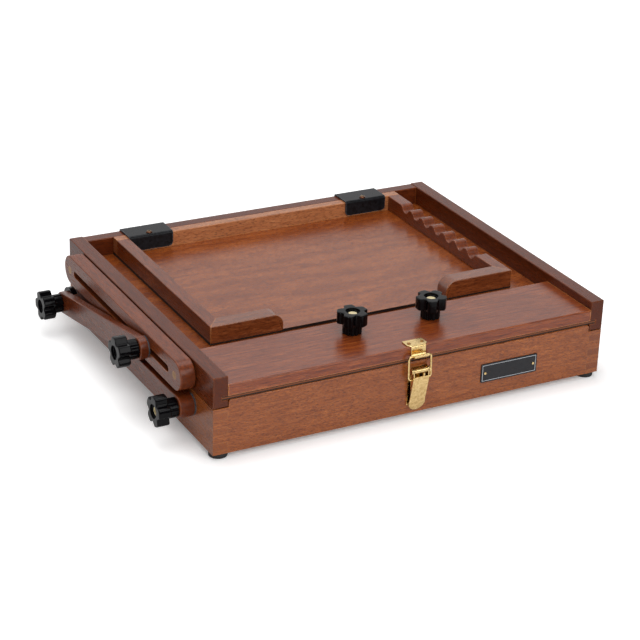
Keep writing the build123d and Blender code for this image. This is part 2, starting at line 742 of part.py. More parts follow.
with BuildPart() as slot_washer_disc:
    rod((upper_inner, *slot_bolt_place), RIGHT, washer_radius, slot_washer)
    rod((upper_inner, *slot_bolt_place), RIGHT, stud_hole, slot_washer, Mode.SUBTRACT)
finish("slot_washer", slot_washer_disc)


# ================= star knobs =================
def star_knob(seat, turn, bore):
    """A five-lobed knob standing on the plane seat, turned about its axis, with a hole along it."""
    head = seat.offset(knob_shank)
    outward = Axis(seat.origin, seat.z_dir)
    with BuildPart() as knob:
        with BuildSketch(seat):
            Circle(knob_shank_radius)
            with PolarLocations(knob_shank_radius, knob_flutes, start_angle=turn):
                Circle(knob_flute_radius, mode=Mode.SUBTRACT)
        extrude(amount=knob_shank)
        with BuildSketch(head) as star:
            Circle(knob_core_radius)
            with PolarLocations(knob_radius - knob_lobe_radius, knob_lobes, start_angle=turn):
                Circle(knob_lobe_radius)
            fillet(star.vertices(), knob_flute_radius)
        extrude(amount=knob_head)
        fillet(knob.faces().sort_by(outward)[-1].edges(), knob_ease)
        with BuildSketch(head.offset(knob_head)):
            Circle(knob_recess_radius)
        extrude(amount=-knob_recess_depth, mode=Mode.SUBTRACT)
        with BuildSketch(seat):
            Circle(bore)
        extrude(amount=knob_shank + knob_head, mode=Mode.SUBTRACT)
    return knob


insert_length = knob_shank + knob_head - knob_recess_depth
side_seats = {
    "pivot_knob": ((lower_outer - knob_gap, *pivot), 12, insert_radius),
    "elbow_knob": ((upper_outer - knob_gap, *elbow), 40, stud_hole),
    "slot_knob": ((upper_outer - knob_gap, *slot_bolt_place), 25, stud_hole),
}
for name, (place, turn, bore) in side_seats.items():
    finish(name, star_knob(Plane(origin=place, x_dir=BACKWARD, z_dir=LEFT), turn, bore))

with BuildPart() as pivot_knob_insert:
    rod((lower_outer - knob_gap, *pivot), LEFT, insert_radius, insert_length)
    rod((lower_outer - knob_gap, *pivot), LEFT, stud_hole, insert_length, Mode.SUBTRACT)
finish("pivot_knob_insert", pivot_knob_insert)

for side, (x, y), turn in zip(("left", "right"), board_knobs, (8, 30)):
    seat_z = board_top + knob_gap
    finish(side + "_board_knob", star_knob(Plane(origin=(x, y, seat_z), z_dir=UP), turn, insert_radius))
    with BuildPart() as board_stud:
        rod((x, y, seat_z), UP, insert_radius, insert_length)
        rod((x, y, clamp_foot + knob_gap), UP, stud_radius, seat_z - clamp_foot - knob_gap)
    finish(side + "_board_stud", board_stud)

# ================= side tray =================
with BuildPart() as tray_floor:
    block(span(tray_width), (tray_front, tray_back), (tray_foot, tray_floor_top))
finish("tray_floor", tray_floor)

with BuildPart() as tray_left_arm:
    block((-tray_half, -arm_inner), (tray_front, bar_face), (tray_floor_top, tray_top))
    fillet(tray_left_arm.edges().filter_by(Axis.Y).group_by(Axis.Z)[-1], edge_ease)
finish("tray_left_arm", tray_left_arm)

# a row of waves along the arm's top, each valley and crest a tangent arc
half_pitch = notch_pitch / 2
wave_angle = 2 * math.atan(notch_depth / half_pitch)
wave_radius = half_pitch / 2 / math.sin(wave_angle)
valleys = [bar_face - notch_back - n * notch_pitch for n in reversed(range(notches))]


def crest_side(crest, toward):
    """A point halfway down the crest's arc, on the side that toward points to."""
    return (crest + toward * wave_radius * math.sin(wave_angle / 2),
            tray_top - wave_radius * (1 - math.cos(wave_angle / 2)))


with BuildPart() as tray_notched_arm:
    with BuildSketch(Plane.YZ.offset(arm_inner)):
        with BuildLine():
            first, last = valleys[0] - half_pitch, valleys[-1] + half_pitch
            shoulder_z = tray_top - notch_depth / 2
            Polyline((first, tray_top), (tray_front, tray_top), (tray_front, tray_floor_top),
                     (bar_face, tray_floor_top), (bar_face, tray_top), (last, tray_top))
            ThreePointArc((first, tray_top), crest_side(first, 1), (valleys[0] - half_pitch / 2, shoulder_z))
            for valley in valleys:
                ThreePointArc((valley - half_pitch / 2, shoulder_z), (valley, tray_top - notch_depth),
                              (valley + half_pitch / 2, shoulder_z))
            for valley in valleys[:-1]:
                ThreePointArc((valley + half_pitch / 2, shoulder_z), (valley + half_pitch, tray_top),
                              (valley + notch_pitch - half_pitch / 2, shoulder_z))
            ThreePointArc((valleys[-1] + half_pitch / 2, shoulder_z), crest_side(last, -1), (last, tray_top))
        make_face()
    extrude(amount=tray_arm_width)
finish("tray_notched_arm", tray_notched_arm)

with BuildPart() as tray_rear_bar:
    block(span(tray_width), (bar_face, tray_back), (tray_floor_top, tray_top))
    fillet(tray_rear_bar.edges().filter_by(Axis.X).group_by(Axis.Z)[-1], edge_ease)
    for x, y in clip_screw_places:
        rod((x, y, tray_top), DOWN, clip_screw_radius + screw_fit, clip_screw_length, Mode.SUBTRACT)
finish("tray_rear_bar", tray_rear_bar)

with BuildPart() as tray_returns:
    for side in (-1, 1):
        block(tuple(sorted((side * arm_inner, side * (arm_inner - tray_return_length)))),
              (tray_front, tray_front + tray_return_depth), (tray_floor_top, tray_top))
    fillet(tray_returns.edges().filter_by(Axis.Y).group_by(Axis.Z)[-1].sort_by(Axis.X)[1:3], return_corner)
finish("tray_returns", tray_returns)

clip_y = (bar_face - clip_thickness, back + clip_gap + clip_thickness)
clip_top = tray_top + clip_thickness
with BuildPart() as tray_clips:
    for middle in clip_middles:
        x = span(clip_width, middle)
        block(x, clip_y, (tray_top, clip_top))
        block(x, (clip_y[0], bar_face), (clip_top - clip_drop - clip_thickness, clip_top))
        block(x, (back + clip_gap, clip_y[1]), (clip_top - clip_drop - clip_thickness, clip_top))
    fillet(tray_clips.edges().filter_by(Axis.X).group_by(Axis.Z)[-1], clip_bend)
    fillet(tray_clips.edges().filter_by(Axis.Y).group_by(Axis.Z)[0], clip_corner)
    for x, y in clip_screw_places:
        rod((x, y, tray_top), UP, clip_screw_radius + screw_fit, clip_thickness, Mode.SUBTRACT)
finish("tray_clips", tray_clips)

with BuildPart() as clip_screws:
    for x, y in clip_screw_places:
        screw((x, y, clip_top), UP, clip_screw_head_radius, clip_screw_head_height, clip_screw_radius,
              clip_screw_length)
    fillet(clip_screws.edges().filter_by(GeomType.CIRCLE).group_by(Axis.Z)[-1], clip_screw_radius)
finish("clip_screws", clip_screws)

for name, piece in pieces.items():
    export_step(piece, f"parts/{name}.step")
print(len(pieces), "pieces written")
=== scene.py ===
import bpy
import bmesh
import math
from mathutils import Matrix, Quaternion, Vector


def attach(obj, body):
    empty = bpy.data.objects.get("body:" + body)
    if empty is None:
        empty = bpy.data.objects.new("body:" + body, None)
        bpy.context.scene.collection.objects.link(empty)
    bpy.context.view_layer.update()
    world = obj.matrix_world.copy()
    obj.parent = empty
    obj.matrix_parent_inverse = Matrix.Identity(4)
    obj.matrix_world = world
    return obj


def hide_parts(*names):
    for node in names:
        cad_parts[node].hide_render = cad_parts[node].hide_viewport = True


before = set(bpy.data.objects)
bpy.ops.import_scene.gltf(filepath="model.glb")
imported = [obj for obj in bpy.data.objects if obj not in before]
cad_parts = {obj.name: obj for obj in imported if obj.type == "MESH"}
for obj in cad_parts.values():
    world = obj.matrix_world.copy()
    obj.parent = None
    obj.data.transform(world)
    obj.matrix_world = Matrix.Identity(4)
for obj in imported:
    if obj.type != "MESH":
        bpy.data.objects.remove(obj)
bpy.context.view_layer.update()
mm = 0.001


def feed(tree, made, inputs):
    # each input takes either a link from another node or a plain value
    for name, value in inputs.items():
        if isinstance(value, bpy.types.NodeSocket):
            tree.links.new(value, made.inputs[name])
        else:
            made.inputs[name].default_value = value


def node(tree, kind, inputs=None, **settings):
    made = tree.nodes.new("ShaderNode" + kind)
    for name, value in settings.items():
        setattr(made, name, value)
    feed(tree, made, inputs or {})
    return made


def place(tree, group, inputs):
    made = node(tree, "Group", node_tree=group)
    feed(tree, made, inputs)
    return made.outputs


def maths(tree, operation, first, second=0.0):
    return node(tree, "Math", {0: first, 1: second}, operation=operation).outputs[0]


def times(tree, first, second):
    return maths(tree, "MULTIPLY", first, second)


def plus(tree, first, second):
    return maths(tree, "ADD", first, second)


def minus(tree, first, second):
    return maths(tree, "SUBTRACT", first, second)


def remap(tree, value, low, high, newLow=0.0, newHigh=1.0):
    return node(tree, "MapRange", {"Value": value, "From Min": low, "From Max": high,
                                   "To Min": newLow, "To Max": newHigh}).outputs["Result"]


def mix(tree, amount, first, second):
    return node(tree, "Mix", {0: amount, 6: first, 7: second}, data_type="RGBA").outputs[2]


def mixNumber(tree, amount, first, second):
    return node(tree, "Mix", {0: amount, 2: first, 3: second}, data_type="FLOAT").outputs[0]


def axes(tree, vector):
    return node(tree, "SeparateXYZ", {0: vector}).outputs


def scaled(tree, vector, x, y, z):
    return node(tree, "VectorMath", {0: vector, 1: (x, y, z)}, operation="MULTIPLY").outputs[0]


def objectPlace(tree, scale=1000):
    # the place on the piece, in millimetres unless another scale is asked for
    return scaled(tree, node(tree, "TexCoord").outputs["Object"], scale, scale, scale)


def noise(tree, vector, scale=1.0, detail=2.0, roughness=0.5, distortion=0.0, stretch=None):
    if stretch:
        vector = scaled(tree, vector, *stretch)
    return node(tree, "TexNoise", {"Vector": vector, "Scale": scale, "Detail": detail, "Roughness": roughness,
                                   "Distortion": distortion}).outputs["Fac"]


def colour(code):
    # a colour written as red, green and blue in hex, as linear light
    parts = [int(code[i:i + 2], 16) / 255 for i in (0, 2, 4)]
    return (*[c / 12.92 if c <= 0.04045 else ((c + 0.055) / 1.055) ** 2.4 for c in parts], 1.0)


def newGroup(name, inputs, outputs):
    tree = bpy.data.node_groups.new(name, "ShaderNodeTree")
    for label, kind, value in inputs:
        socket = tree.interface.new_socket(name=label, in_out="INPUT", socket_type="NodeSocket" + kind)
        if value is not None:
            socket.default_value = value
    for label, kind in outputs:
        tree.interface.new_socket(name=label, in_out="OUTPUT", socket_type="NodeSocket" + kind)
    return tree, tree.nodes.new("NodeGroupInput").outputs, tree.nodes.new("NodeGroupOutput").inputs


boardShift = (171.3, 63.7, 29.1)  # millimetres of wood from one board's place to the next


def boardPlaceGroup():
    # position in millimetres with the grain along its X, moved on for each board so that no two boards match
    tree, given, result = newGroup("boardPlace", [("Turn", "Vector", (0, 0, 0))],
                                   [("Vector", "Vector"), ("Normal", "Vector")])
    coords = node(tree, "TexCoord").outputs

    def alongGrain(vector):
        return node(tree, "VectorRotate", {"Vector": vector, "Rotation": given["Turn"]},
                    rotation_type="EULER_XYZ").outputs[0]

    inMm = scaled(tree, alongGrain(coords["Object"]), 1000, 1000, 1000)
    board = node(tree, "ObjectInfo").outputs["Object Index"]
    shift = node(tree, "CombineXYZ", {axis: times(tree, board, step) for axis, step in enumerate(boardShift)})
    moved = node(tree, "VectorMath", {0: inMm, 1: shift.outputs[0]}, operation="ADD").outputs[0]
    tree.links.new(moved, result["Vector"])
    tree.links.new(alongGrain(coords["Normal"]), result["Normal"])
    return tree


grainMake = {
    "wander": {"stretch": (0.005, 0.022, 0.022), "detail": 3.0},
    "streaks": {"stretch": (0.045, 0.46, 0.46), "detail": 4.0, "roughness": 0.72, "distortion": 0.4},
    "fibres": {"stretch": (0.14, 0.95, 0.95), "detail": 3.0, "roughness": 0.75},
    "pores": {"stretch": (0.26, 1.1, 1.1), "detail": 1.0},
    "ringLean": 0.7, "wanderReach": 40.0, "fullTurn": 6.283, "streakShare": 0.42, "fibreShare": 0.53,
    "poreLow": 0.55, "poreHigh": 0.68, "fibreHeight": 0.5, "poreDepth": 0.6}


def woodGrainGroup():
    # growth bands, long fibres and short open pores of a hardwood board
    look = grainMake
    tree, given, result = newGroup(
        "woodGrain",
        [("Vector", "Vector", None), ("Band", "Float", 6.0), ("Swirl", "Float", 1.0),
         ("Ring share", "Float", 0.08)],
        [("Figure", "Float"), ("Pores", "Float"), ("Height", "Float")])
    wander = minus(tree, noise(tree, given["Vector"], **look["wander"]), 0.5)
    wander = times(tree, wander, given["Swirl"])
    across = axes(tree, given["Vector"])
    ringPlace = plus(tree, plus(tree, across[1], times(tree, across[2], look["ringLean"])),
                     times(tree, wander, look["wanderReach"]))
    turns = maths(tree, "DIVIDE", times(tree, ringPlace, look["fullTurn"]), given["Band"])
    rings = remap(tree, maths(tree, "SINE", turns), -1.0, 1.0)
    streaks = noise(tree, given["Vector"], **look["streaks"])
    fibres = noise(tree, given["Vector"], **look["fibres"])
    fine = plus(tree, times(tree, streaks, look["streakShare"]), times(tree, fibres, look["fibreShare"]))
    pores = remap(tree, noise(tree, given["Vector"], **look["pores"]), look["poreLow"], look["poreHigh"])
    height = minus(tree, times(tree, fibres, look["fibreHeight"]), times(tree, pores, look["poreDepth"]))
    tree.links.new(plus(tree, times(tree, rings, given["Ring share"]), fine), result["Figure"])
    tree.links.new(pores, result["Pores"])
    tree.links.new(height, result["Height"])
    return tree


edgeWearAndHighlightMake = {"samples": 6, "patchScale": 90, "patchLow": 0.35, "patchHigh": 0.65, "flat": 0.995, "round": 0.86}


def edgeWearAndHighlightGroup():
    # where an edge is rounded: stain thinned on wood, a coat wearing on metal and plastic, and a painted
    # highlight along the edge
    look = edgeWearAndHighlightMake
    tree, given, result = newGroup("edgeWearAndHighlight", [("Radius", "Float", 0.001), ("Breakup", "Float", 0.4)],
                                   [("Mask", "Float")])
    rounded = node(tree, "Bevel", {"Radius": given["Radius"]}, samples=look["samples"]).outputs[0]
    facing = node(tree, "NewGeometry").outputs["Normal"]
    bent = node(tree, "VectorMath", {0: rounded, 1: facing}, operation="DOT_PRODUCT").outputs["Value"]
    patchy = noise(tree, objectPlace(tree, look["patchScale"]), detail=3.0, roughness=0.6)
    loss = times(tree, remap(tree, patchy, look["patchLow"], look["patchHigh"]), given["Breakup"])
    kept = minus(tree, 1.0, loss)
    tree.links.new(times(tree, remap(tree, bent, look["flat"], look["round"]), kept), result["Mask"])
    return tree


endMake = {"facing": 0.7, "full": 0.9, "speckStretch": (1.1, 1.1, 1.1), "speckLow": 0.35, "speckHigh": 0.7}


def endCutGroup():
    # end grain, where a face is cut across the fibres
    look = endMake
    tree, given, result = newGroup("endCut", [("Vector", "Vector", None), ("Normal", "Vector", None)],
                                   [("Mask", "Float"), ("Specks", "Float")])
    along = maths(tree, "ABSOLUTE", axes(tree, given["Normal"])[0])
    specks = noise(tree, given["Vector"], detail=3.0, roughness=0.7, stretch=look["speckStretch"])
    tree.links.new(remap(tree, along, look["facing"], look["full"]), result["Mask"])
    tree.links.new(remap(tree, specks, look["speckLow"], look["speckHigh"]), result["Specks"])
    return tree


handledMake = {"cloudScale": 0.16, "scratchStretch": (0.35, 0.35, 4.5), "scratchLow": 0.52,
               "scratchHigh": 0.68}


def handledGroup():
    # fine scratches and cloudy fingermarks on metal and plastic
    look = handledMake
    tree, given, result = newGroup("handled", [("Scale", "Float", 1.0)],
                                   [("Clouds", "Float"), ("Scratches", "Float")])
    spot = objectPlace(tree)
    clouds = noise(tree, spot, times(tree, given["Scale"], look["cloudScale"]), 4.0, 0.6)
    fine = noise(tree, spot, given["Scale"], 2.0, 0.6, 0.6, look["scratchStretch"])
    tree.links.new(clouds, result["Clouds"])
    tree.links.new(remap(tree, fine, look["scratchLow"], look["scratchHigh"]), result["Scratches"])
    return tree


boardPlace, woodGrain, edgeWearAndHighlight = boardPlaceGroup(), woodGrainGroup(), edgeWearAndHighlightGroup()
endCut, handled = endCutGroup(), handledGroup()
print("shared effects ready")

# wood: lacquer is the strength of the shine, spread the contrast of the grain, fineness its scale
# each wood's lighter edge tone is edge wear and a painted highlight along rounded edges
stain = {"dark": "783915", "mid": "995223", "light": "b56b36", "stainWearAndHighlight": "d08a4a", "end": "5c260e",
         "pore": "4a1c08", "roughness": 0.27, "lacquer": 0.5, "band": 7.0, "swirl": 0.7, "rings": 0.03,
         "endShare": 0.5, "wearAndHighlightShare": 0.75, "spread": 0.125, "pores": 0.6, "fineness": (1.0, 1.0, 1.0)}
armStain = dict(stain, dark="53210b", mid="743417", light="8e4a27", stainWearAndHighlight="bb6c34", end="4a1e0a",
                pore="341204", lacquer=0.3)
railStain = dict(armStain, dark="481b08", mid="662c12", light="804020", lacquer=0.25)
slotStain = dict(armStain, dark="5a260f", mid="7d3b1c", light="97502e")
trayStain = dict(armStain, dark="58240d", mid="7c3a1b", light="96502c", lacquer=0.45)
# the board's bright edge tone is mostly a painted highlight along its front edge
boardStain = dict(stain, dark="622207", mid="873d15", light="a85a2a", stainWearAndHighlight="dc8e48", spread=0.105,
                  wearAndHighlightShare=1.0, lacquer=0.6, fineness=(0.4, 1.15, 1.15))
returnStain = dict(stain, dark="58250c", mid="80401d", light="9c5a33", lacquer=0.8)
barStain = dict(stain, dark="9c5b32", mid="bf794b", light="d29262")
wallStain = dict(stain, wearAndHighlightShare=0.25, spread=0.12, pores=0.7, fineness=(1.3, 1.5, 1.5))
leftWallStain = dict(wallStain, endShare=0.08)
plywood = {"dark": "6f2f0d", "mid": "914719", "light": "b2632d", "stainWearAndHighlight": "c87636", "glueAndShade": "0e0603",
           "plyAndShade": "7a4220", "pore": "521f09", "roughness": 0.26, "lacquer": 0.5, "plyHeight": 1.3,
           "plyShift": 0.6, "band": 34.0, "swirl": 3.4, "rings": 0.06, "spread": 0.1, "pores": 0.75,
           "wearAndHighlightShare": 0.15, "fineness": (1.0, 1.0, 1.0)}
# the tray floor's edges are near black: painted shade on the tray floor's edges
trayPly = dict(plywood, glueAndShade="080302", plyAndShade="140803")
paleWood = {"dark": "a07c52", "mid": "bd996c", "light": "cdae80", "stainWearAndHighlight": "d2b48a", "end": "8a6844",
            "pore": "86673f", "roughness": 0.62, "lacquer": 0.3, "band": 7.0, "swirl": 0.7, "rings": 0.05,
            "endShare": 0.5, "wearAndHighlightShare": 0.75, "spread": 0.18, "pores": 0.5, "fineness": (1.0, 1.0, 1.0)}
woodSurface = {"wearAndHighlightRadius": 0.0016, "wearAndHighlightBreakup": 0.5, "blotchScale": 0.018, "blotchLow": 0.35,
               "blotchHigh": 0.7, "blotchShare": 0.35, "duller": 0.08, "shinier": 0.06, "bareEdge": 0.5,
               "bump": 0.22, "depth": 0.00012}


def newMaterial(name):
    material = bpy.data.materials.new(name)
    material.use_nodes = True
    material.node_tree.nodes.clear()
    return material, material.node_tree


def surface(tree, tone, roughness, height, bump, depth, shine=0.5, metallic=0.0):
    lift = node(tree, "Bump", {"Height": height, "Strength": bump, "Distance": depth})
    shader = node(tree, "BsdfPrincipled", {"Base Color": tone, "Roughness": roughness, "Metallic": metallic,
                                           "Specular IOR Level": shine, "Normal": lift.outputs[0]})
    node(tree, "OutputMaterial", {"Surface": shader.outputs[0]})


def grainTone(tree, figure, look):
    ramp = node(tree, "ValToRGB", {"Fac": figure})
    stops = ramp.color_ramp.elements
    stops[0].position, stops[0].color = 0.5 - look["spread"], colour(look["dark"])
    stops[1].position, stops[1].color = 0.5 + look["spread"], colour(look["light"])
    stops.new(0.5).color = colour(look["mid"])
    return ramp.outputs[0]


def plyEdge(tree, look):
    # where an edge of the sheet shows, and the tones of its layers; on the tray floor both tones are near
    # black, painted shade
    coords = node(tree, "TexCoord").outputs
    level = plus(tree, axes(tree, coords["Object"])[2], look["plyShift"] * mm)
    layer = maths(tree, "FRACT", maths(tree, "DIVIDE", level, look["plyHeight"] * 2 * mm))
    layers = mix(tree, remap(tree, layer, 0.46, 0.54), colour(look["glueAndShade"]), colour(look["plyAndShade"]))
    facingUp = maths(tree, "ABSOLUTE", axes(tree, coords["Normal"])[2])
    return remap(tree, facingUp, 0.5, 0.3), layers


def woodMaterial(name, look, turn=(0, 0, 0)):
    material, tree = newMaterial(name)
    where = place(tree, boardPlace, {"Turn": turn})
    spot = scaled(tree, where["Vector"], *look["fineness"])
    grain = place(tree, woodGrain, {"Vector": spot, "Band": look["band"], "Swirl": look["swirl"],
                                    "Ring share": look["rings"]})
    blotches = noise(tree, where["Vector"], woodSurface["blotchScale"], 3.0, 0.55)
    blotches = remap(tree, blotches, woodSurface["blotchLow"], woodSurface["blotchHigh"],
                     0.0, woodSurface["blotchShare"])
    tone = mix(tree, blotches, grainTone(tree, grain["Figure"], look), colour(look["dark"]))
    tone = mix(tree, times(tree, grain["Pores"], look["pores"]), tone, colour(look["pore"]))
    rough = remap(tree, grain["Figure"], 0.2, 0.8, look["roughness"] + woodSurface["duller"],
                  look["roughness"] - woodSurface["shinier"])
    if "plyAndShade" in look:
        edge, layers = plyEdge(tree, look)
        tone = mix(tree, edge, tone, layers)
        rough = plus(tree, rough, times(tree, edge, woodSurface["bareEdge"]))  # no lacquer on the edges
    else:
        ends = place(tree, endCut, {"Vector": where["Vector"], "Normal": where["Normal"]})
        cut = mix(tree, ends["Specks"], colour(look["end"]), colour(look["dark"]))
        tone = mix(tree, times(tree, ends["Mask"], look["endShare"]), tone, cut)
    wearAndHighlight = place(tree, edgeWearAndHighlight, {"Radius": woodSurface["wearAndHighlightRadius"], "Breakup": woodSurface["wearAndHighlightBreakup"]})
    # lighter tone on rounded edges: wear and a painted highlight
    tone = mix(tree, times(tree, wearAndHighlight["Mask"], look["wearAndHighlightShare"]), tone, colour(look["stainWearAndHighlight"]))
    surface(tree, tone, rough, grain["Height"], woodSurface["bump"], woodSurface["depth"], look["lacquer"])
    return material


alongY = (0, 0, math.radians(90))  # the grain runs along X unless a board is turned
railDeep = woodMaterial("darkBeechDeep", railStain, alongY)
armDeep = woodMaterial("armBeechDeep", armStain, alongY)
slotDeep = woodMaterial("slottedBarBeech", slotStain, alongY)
trayDeep = woodMaterial("trayBeechDeep", trayStain, alongY)
railAcross = woodMaterial("darkBeechAcross", railStain)
barAcross = woodMaterial("lightBeechAcross", barStain)
boardAcross = woodMaterial("boardBeechAcross", boardStain)
returnAcross = woodMaterial("returnBeechAcross", returnStain)
wallAcross = woodMaterial("wallBeechAcross", wallStain)
wallDeep = woodMaterial("wallBeechDeep", wallStain, alongY)
leftWallDeep = woodMaterial("wallBeechQuiet", leftWallStain, alongY)
sheetWood = woodMaterial("stainedPlywood", plywood)
trayWood = woodMaterial("trayPlywood", trayPly)
paleAcross = woodMaterial("paleWoodAcross", paleWood)
paleDeep = woodMaterial("paleWoodDeep", paleWood, alongY)

# metal, plastic and rubber: a base tone, clouded by handling, with wear and a painted highlight at the edges
bare = {"cloudLow": 0.3, "cloudHigh": 0.7, "cloudShare": 0.0, "wearAndHighlightShare": 0.0, "dulled": 0.12,
        "bumpOf": "Scratches", "bump": 0.1, "depth": 0.0001, "shine": 0.5, "metallic": 0.0}
glossPlastic = dict(bare, base="060507", coatWearAndHighlight="2a282c", marks=1.4, wearAndHighlightShare=0.5, wearAndHighlightRadius=0.0008,
                    wearAndHighlightBreakup=0.5, roughness=0.06, bumpOf="Clouds", bump=0.25, depth=0.0004, shine=0.13)
# the steel's pale edge tone is a painted highlight at its bends and rims, with some wear
coatedSteel = dict(bare, base="0d0d0f", cloud="2b2d33", coatWearAndHighlight="989ca4", marks=2.0, cloudLow=0.35,
                   cloudHigh=0.65, cloudShare=0.45, wearAndHighlightShare=0.7, wearAndHighlightRadius=0.0012, wearAndHighlightBreakup=0.6,
                   roughness=0.26, bump=0.08, shine=0.15)
softRubber = dict(bare, base="151414", cloud="242222", marks=3.0, cloudShare=1.0, roughness=0.6, dulled=0.2,
                  bumpOf="Clouds", bump=0.3, depth=0.0003)
darkEnamel = dict(bare, base="222225", cloud="333337", marks=1.6, cloudShare=0.4, roughness=0.3, bump=0.06,
                  shine=0.25)
# the pale edge tone on brass is a painted highlight, with some wear
newBrass = dict(bare, base="ebcf94", cloud="ad8646", coatWearAndHighlight="f4e2b4", marks=2.6, cloudLow=0.35, cloudShare=0.65,
                wearAndHighlightShare=0.5, wearAndHighlightRadius=0.0006, wearAndHighlightBreakup=0.3, roughness=0.08, dulled=0.14, metallic=1.0)
turnedBrass = dict(newBrass, base="f6e8bc", cloud="d8bd7c", cloudShare=0.5, roughness=0.3, metallic=0.4)
oldBrass = dict(newBrass, base="a07440", cloud="6a4522", cloudShare=0.8, roughness=0.3)
oldBronze = dict(newBrass, base="6b4634", cloud="2a1c16", cloudShare=0.9, roughness=0.24)
zincCoat = dict(newBrass, base="b9b9b4", cloud="84847f", cloudShare=0.6, roughness=0.28)


def handledTone(tree, look):
    marks = place(tree, handled, {"Scale": look["marks"]})
    tone = colour(look["base"])
    if look["cloudShare"]:
        clouds = remap(tree, marks["Clouds"], look["cloudLow"], look["cloudHigh"], 0.0, look["cloudShare"])
        tone = mix(tree, clouds, tone, colour(look["cloud"]))
    if look["wearAndHighlightShare"]:
        wearAndHighlight = place(tree, edgeWearAndHighlight, {"Radius": look["wearAndHighlightRadius"], "Breakup": look["wearAndHighlightBreakup"]})
        # lighter tone on rounded edges: wear and a painted highlight
        tone = mix(tree, times(tree, wearAndHighlight["Mask"], look["wearAndHighlightShare"]), tone, colour(look["coatWearAndHighlight"]))
    return marks, tone


def handledSurface(tree, marks, tone, look):
    rough = remap(tree, marks["Clouds"], 0.3, 0.7, look["roughness"], look["roughness"] + look["dulled"])
    surface(tree, tone, rough, marks[look["bumpOf"]], look["bump"], look["depth"], look["shine"],
            look["metallic"])


def handledMaterial(name, look):
    material, tree = newMaterial(name)
    marks, tone = handledTone(tree, look)
    handledSurface(tree, marks, tone, look)
    return material


brass = handledMaterial("polishedBrass", newBrass)
paleBrass = handledMaterial("paleBrass", turnedBrass)
agedBrass = handledMaterial("agedBrass", oldBrass)
bronze = handledMaterial("darkBronze", oldBronze)
zinc = handledMaterial("zincSteel", zincCoat)
plastic = handledMaterial("glossBlackPlastic", glossPlastic)
steel = handledMaterial("blackCoatedSteel", coatedSteel)
rubber = handledMaterial("blackRubber", softRubber)

namePlate = {"x": 98.5, "z": 24.2, "width": 60.5, "height": 18.5, "thick": 1.0, "corner": 1.2, "ease": 0.25,
             "lineInset": 1.3, "lineWidth": 0.5, "lineSoft": 0.06, "line": "b9bec4"}


def namePlateMaterial():
    # a thin pale line runs round the plate near its edge
    look = namePlate
    material, tree = newMaterial("enamelledPlate")
    spot = axes(tree, objectPlace(tree))
    fromEdges = [minus(tree, look[size] / 2, maths(tree, "ABSOLUTE", minus(tree, spot[axis], look[middle])))
                 for axis, middle, size in ((0, "x", "width"), (2, "z", "height"))]
    halfLine = look["lineWidth"] / 2
    fromLine = minus(tree, maths(tree, "MINIMUM", *fromEdges), look["lineInset"] + halfLine)
    line = remap(tree, maths(tree, "ABSOLUTE", fromLine), halfLine + look["lineSoft"],
                 halfLine - look["lineSoft"])
    marks, tone = handledTone(tree, darkEnamel)
    handledSurface(tree, marks, mix(tree, line, tone, colour(look["line"])), darkEnamel)
    return material


plateFinish = namePlateMaterial()
print("materials ready")

# mesh helpers, all in millimetres: a mesh is a pair of points and faces
redrawn = []
firstNumber = 60  # the CAD nodes that stay take the numbers below


def finishPiece(piece, material, body, stands, sharp=35.0):
    bpy.context.scene.collection.objects.link(piece)
    piece.data.materials.append(material)
    if piece.type == "MESH":
        piece.data.shade_smooth()
        piece.data.set_sharp_from_angle(angle=math.radians(sharp))
        piece.modifiers.new("evenShading", "WEIGHTED_NORMAL").keep_sharp = True
    redrawn.append(piece)
    piece.pass_index = firstNumber + len(redrawn)  # moves the grain on for each piece
    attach(piece, body)
    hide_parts(*stands)
    return piece


def meshObject(name, pointsAndFaces, material, body, stands, sharp=35.0):
    points, faces = pointsAndFaces
    mesh = bpy.data.meshes.new(name)
    mesh.from_pydata([Vector(point) * mm for point in points], [], faces)
    made = bmesh.new()
    made.from_mesh(mesh)
    bmesh.ops.remove_doubles(made, verts=made.verts, dist=1e-6)
    bmesh.ops.recalc_face_normals(made, faces=made.faces)
    made.to_mesh(mesh)
    made.free()
    return finishPiece(bpy.data.objects.new(name, mesh), material, body, stands, sharp)


def easeEdges(piece, width):
    bevel = piece.modifiers.new("easedEdges", "BEVEL")
    bevel.width, bevel.segments = width * mm, 2
    bevel.limit_method, bevel.angle_limit = "ANGLE", math.radians(40)
    piece.modifiers.move(len(piece.modifiers) - 1, 0)


def joined(parts):
    points, faces = [], []
    for somePoints, someFaces in parts:
        faces += [tuple(i + len(points) for i in face) for face in someFaces]
        points += list(somePoints)
    return points, faces


def mirrored(corners):
    return [(-u, v, radius) for u, v, radius in reversed(corners)]


def roundCorners(corners, steps):
    # corners are (u, v, radius), anticlockwise
    outline = []
    for i, (u, v, radius) in enumerate(corners):
        here = Vector((u, v))
        if not radius:
            outline.append(here)
            continue
        back = (Vector(corners[i - 1][:2]) - here).normalized()
        ahead = (Vector(corners[(i + 1) % len(corners)][:2]) - here).normalized()
        half = back.angle(ahead) / 2
        centre = here + (back + ahead).normalized() * (radius / math.sin(half))
        start = here + back * (radius / math.tan(half)) - centre
        sweep = math.pi - 2 * half
        turn = 1 if back.x * ahead.y - back.y * ahead.x < 0 else -1
        for step in range(steps + 1):
            angle = turn * sweep * step / steps
            outline.append(centre + Vector((start.x * math.cos(angle) - start.y * math.sin(angle),
                                            start.x * math.sin(angle) + start.y * math.cos(angle))))
    return outline


def inset(outline, distance):
    moved = []
    count = len(outline)
    for i, here in enumerate(outline):
        before = (here - outline[i - 1]).normalized()
        after = (outline[(i + 1) % count] - here).normalized()
        inward = Vector((-before.y, before.x)), Vector((-after.y, after.x))
        reach = distance / max(0.3, 1 + inward[0].dot(inward[1]))  # 0.3 keeps sharp corners from running away
        moved.append(here + (inward[0] + inward[1]) * reach)
    return moved


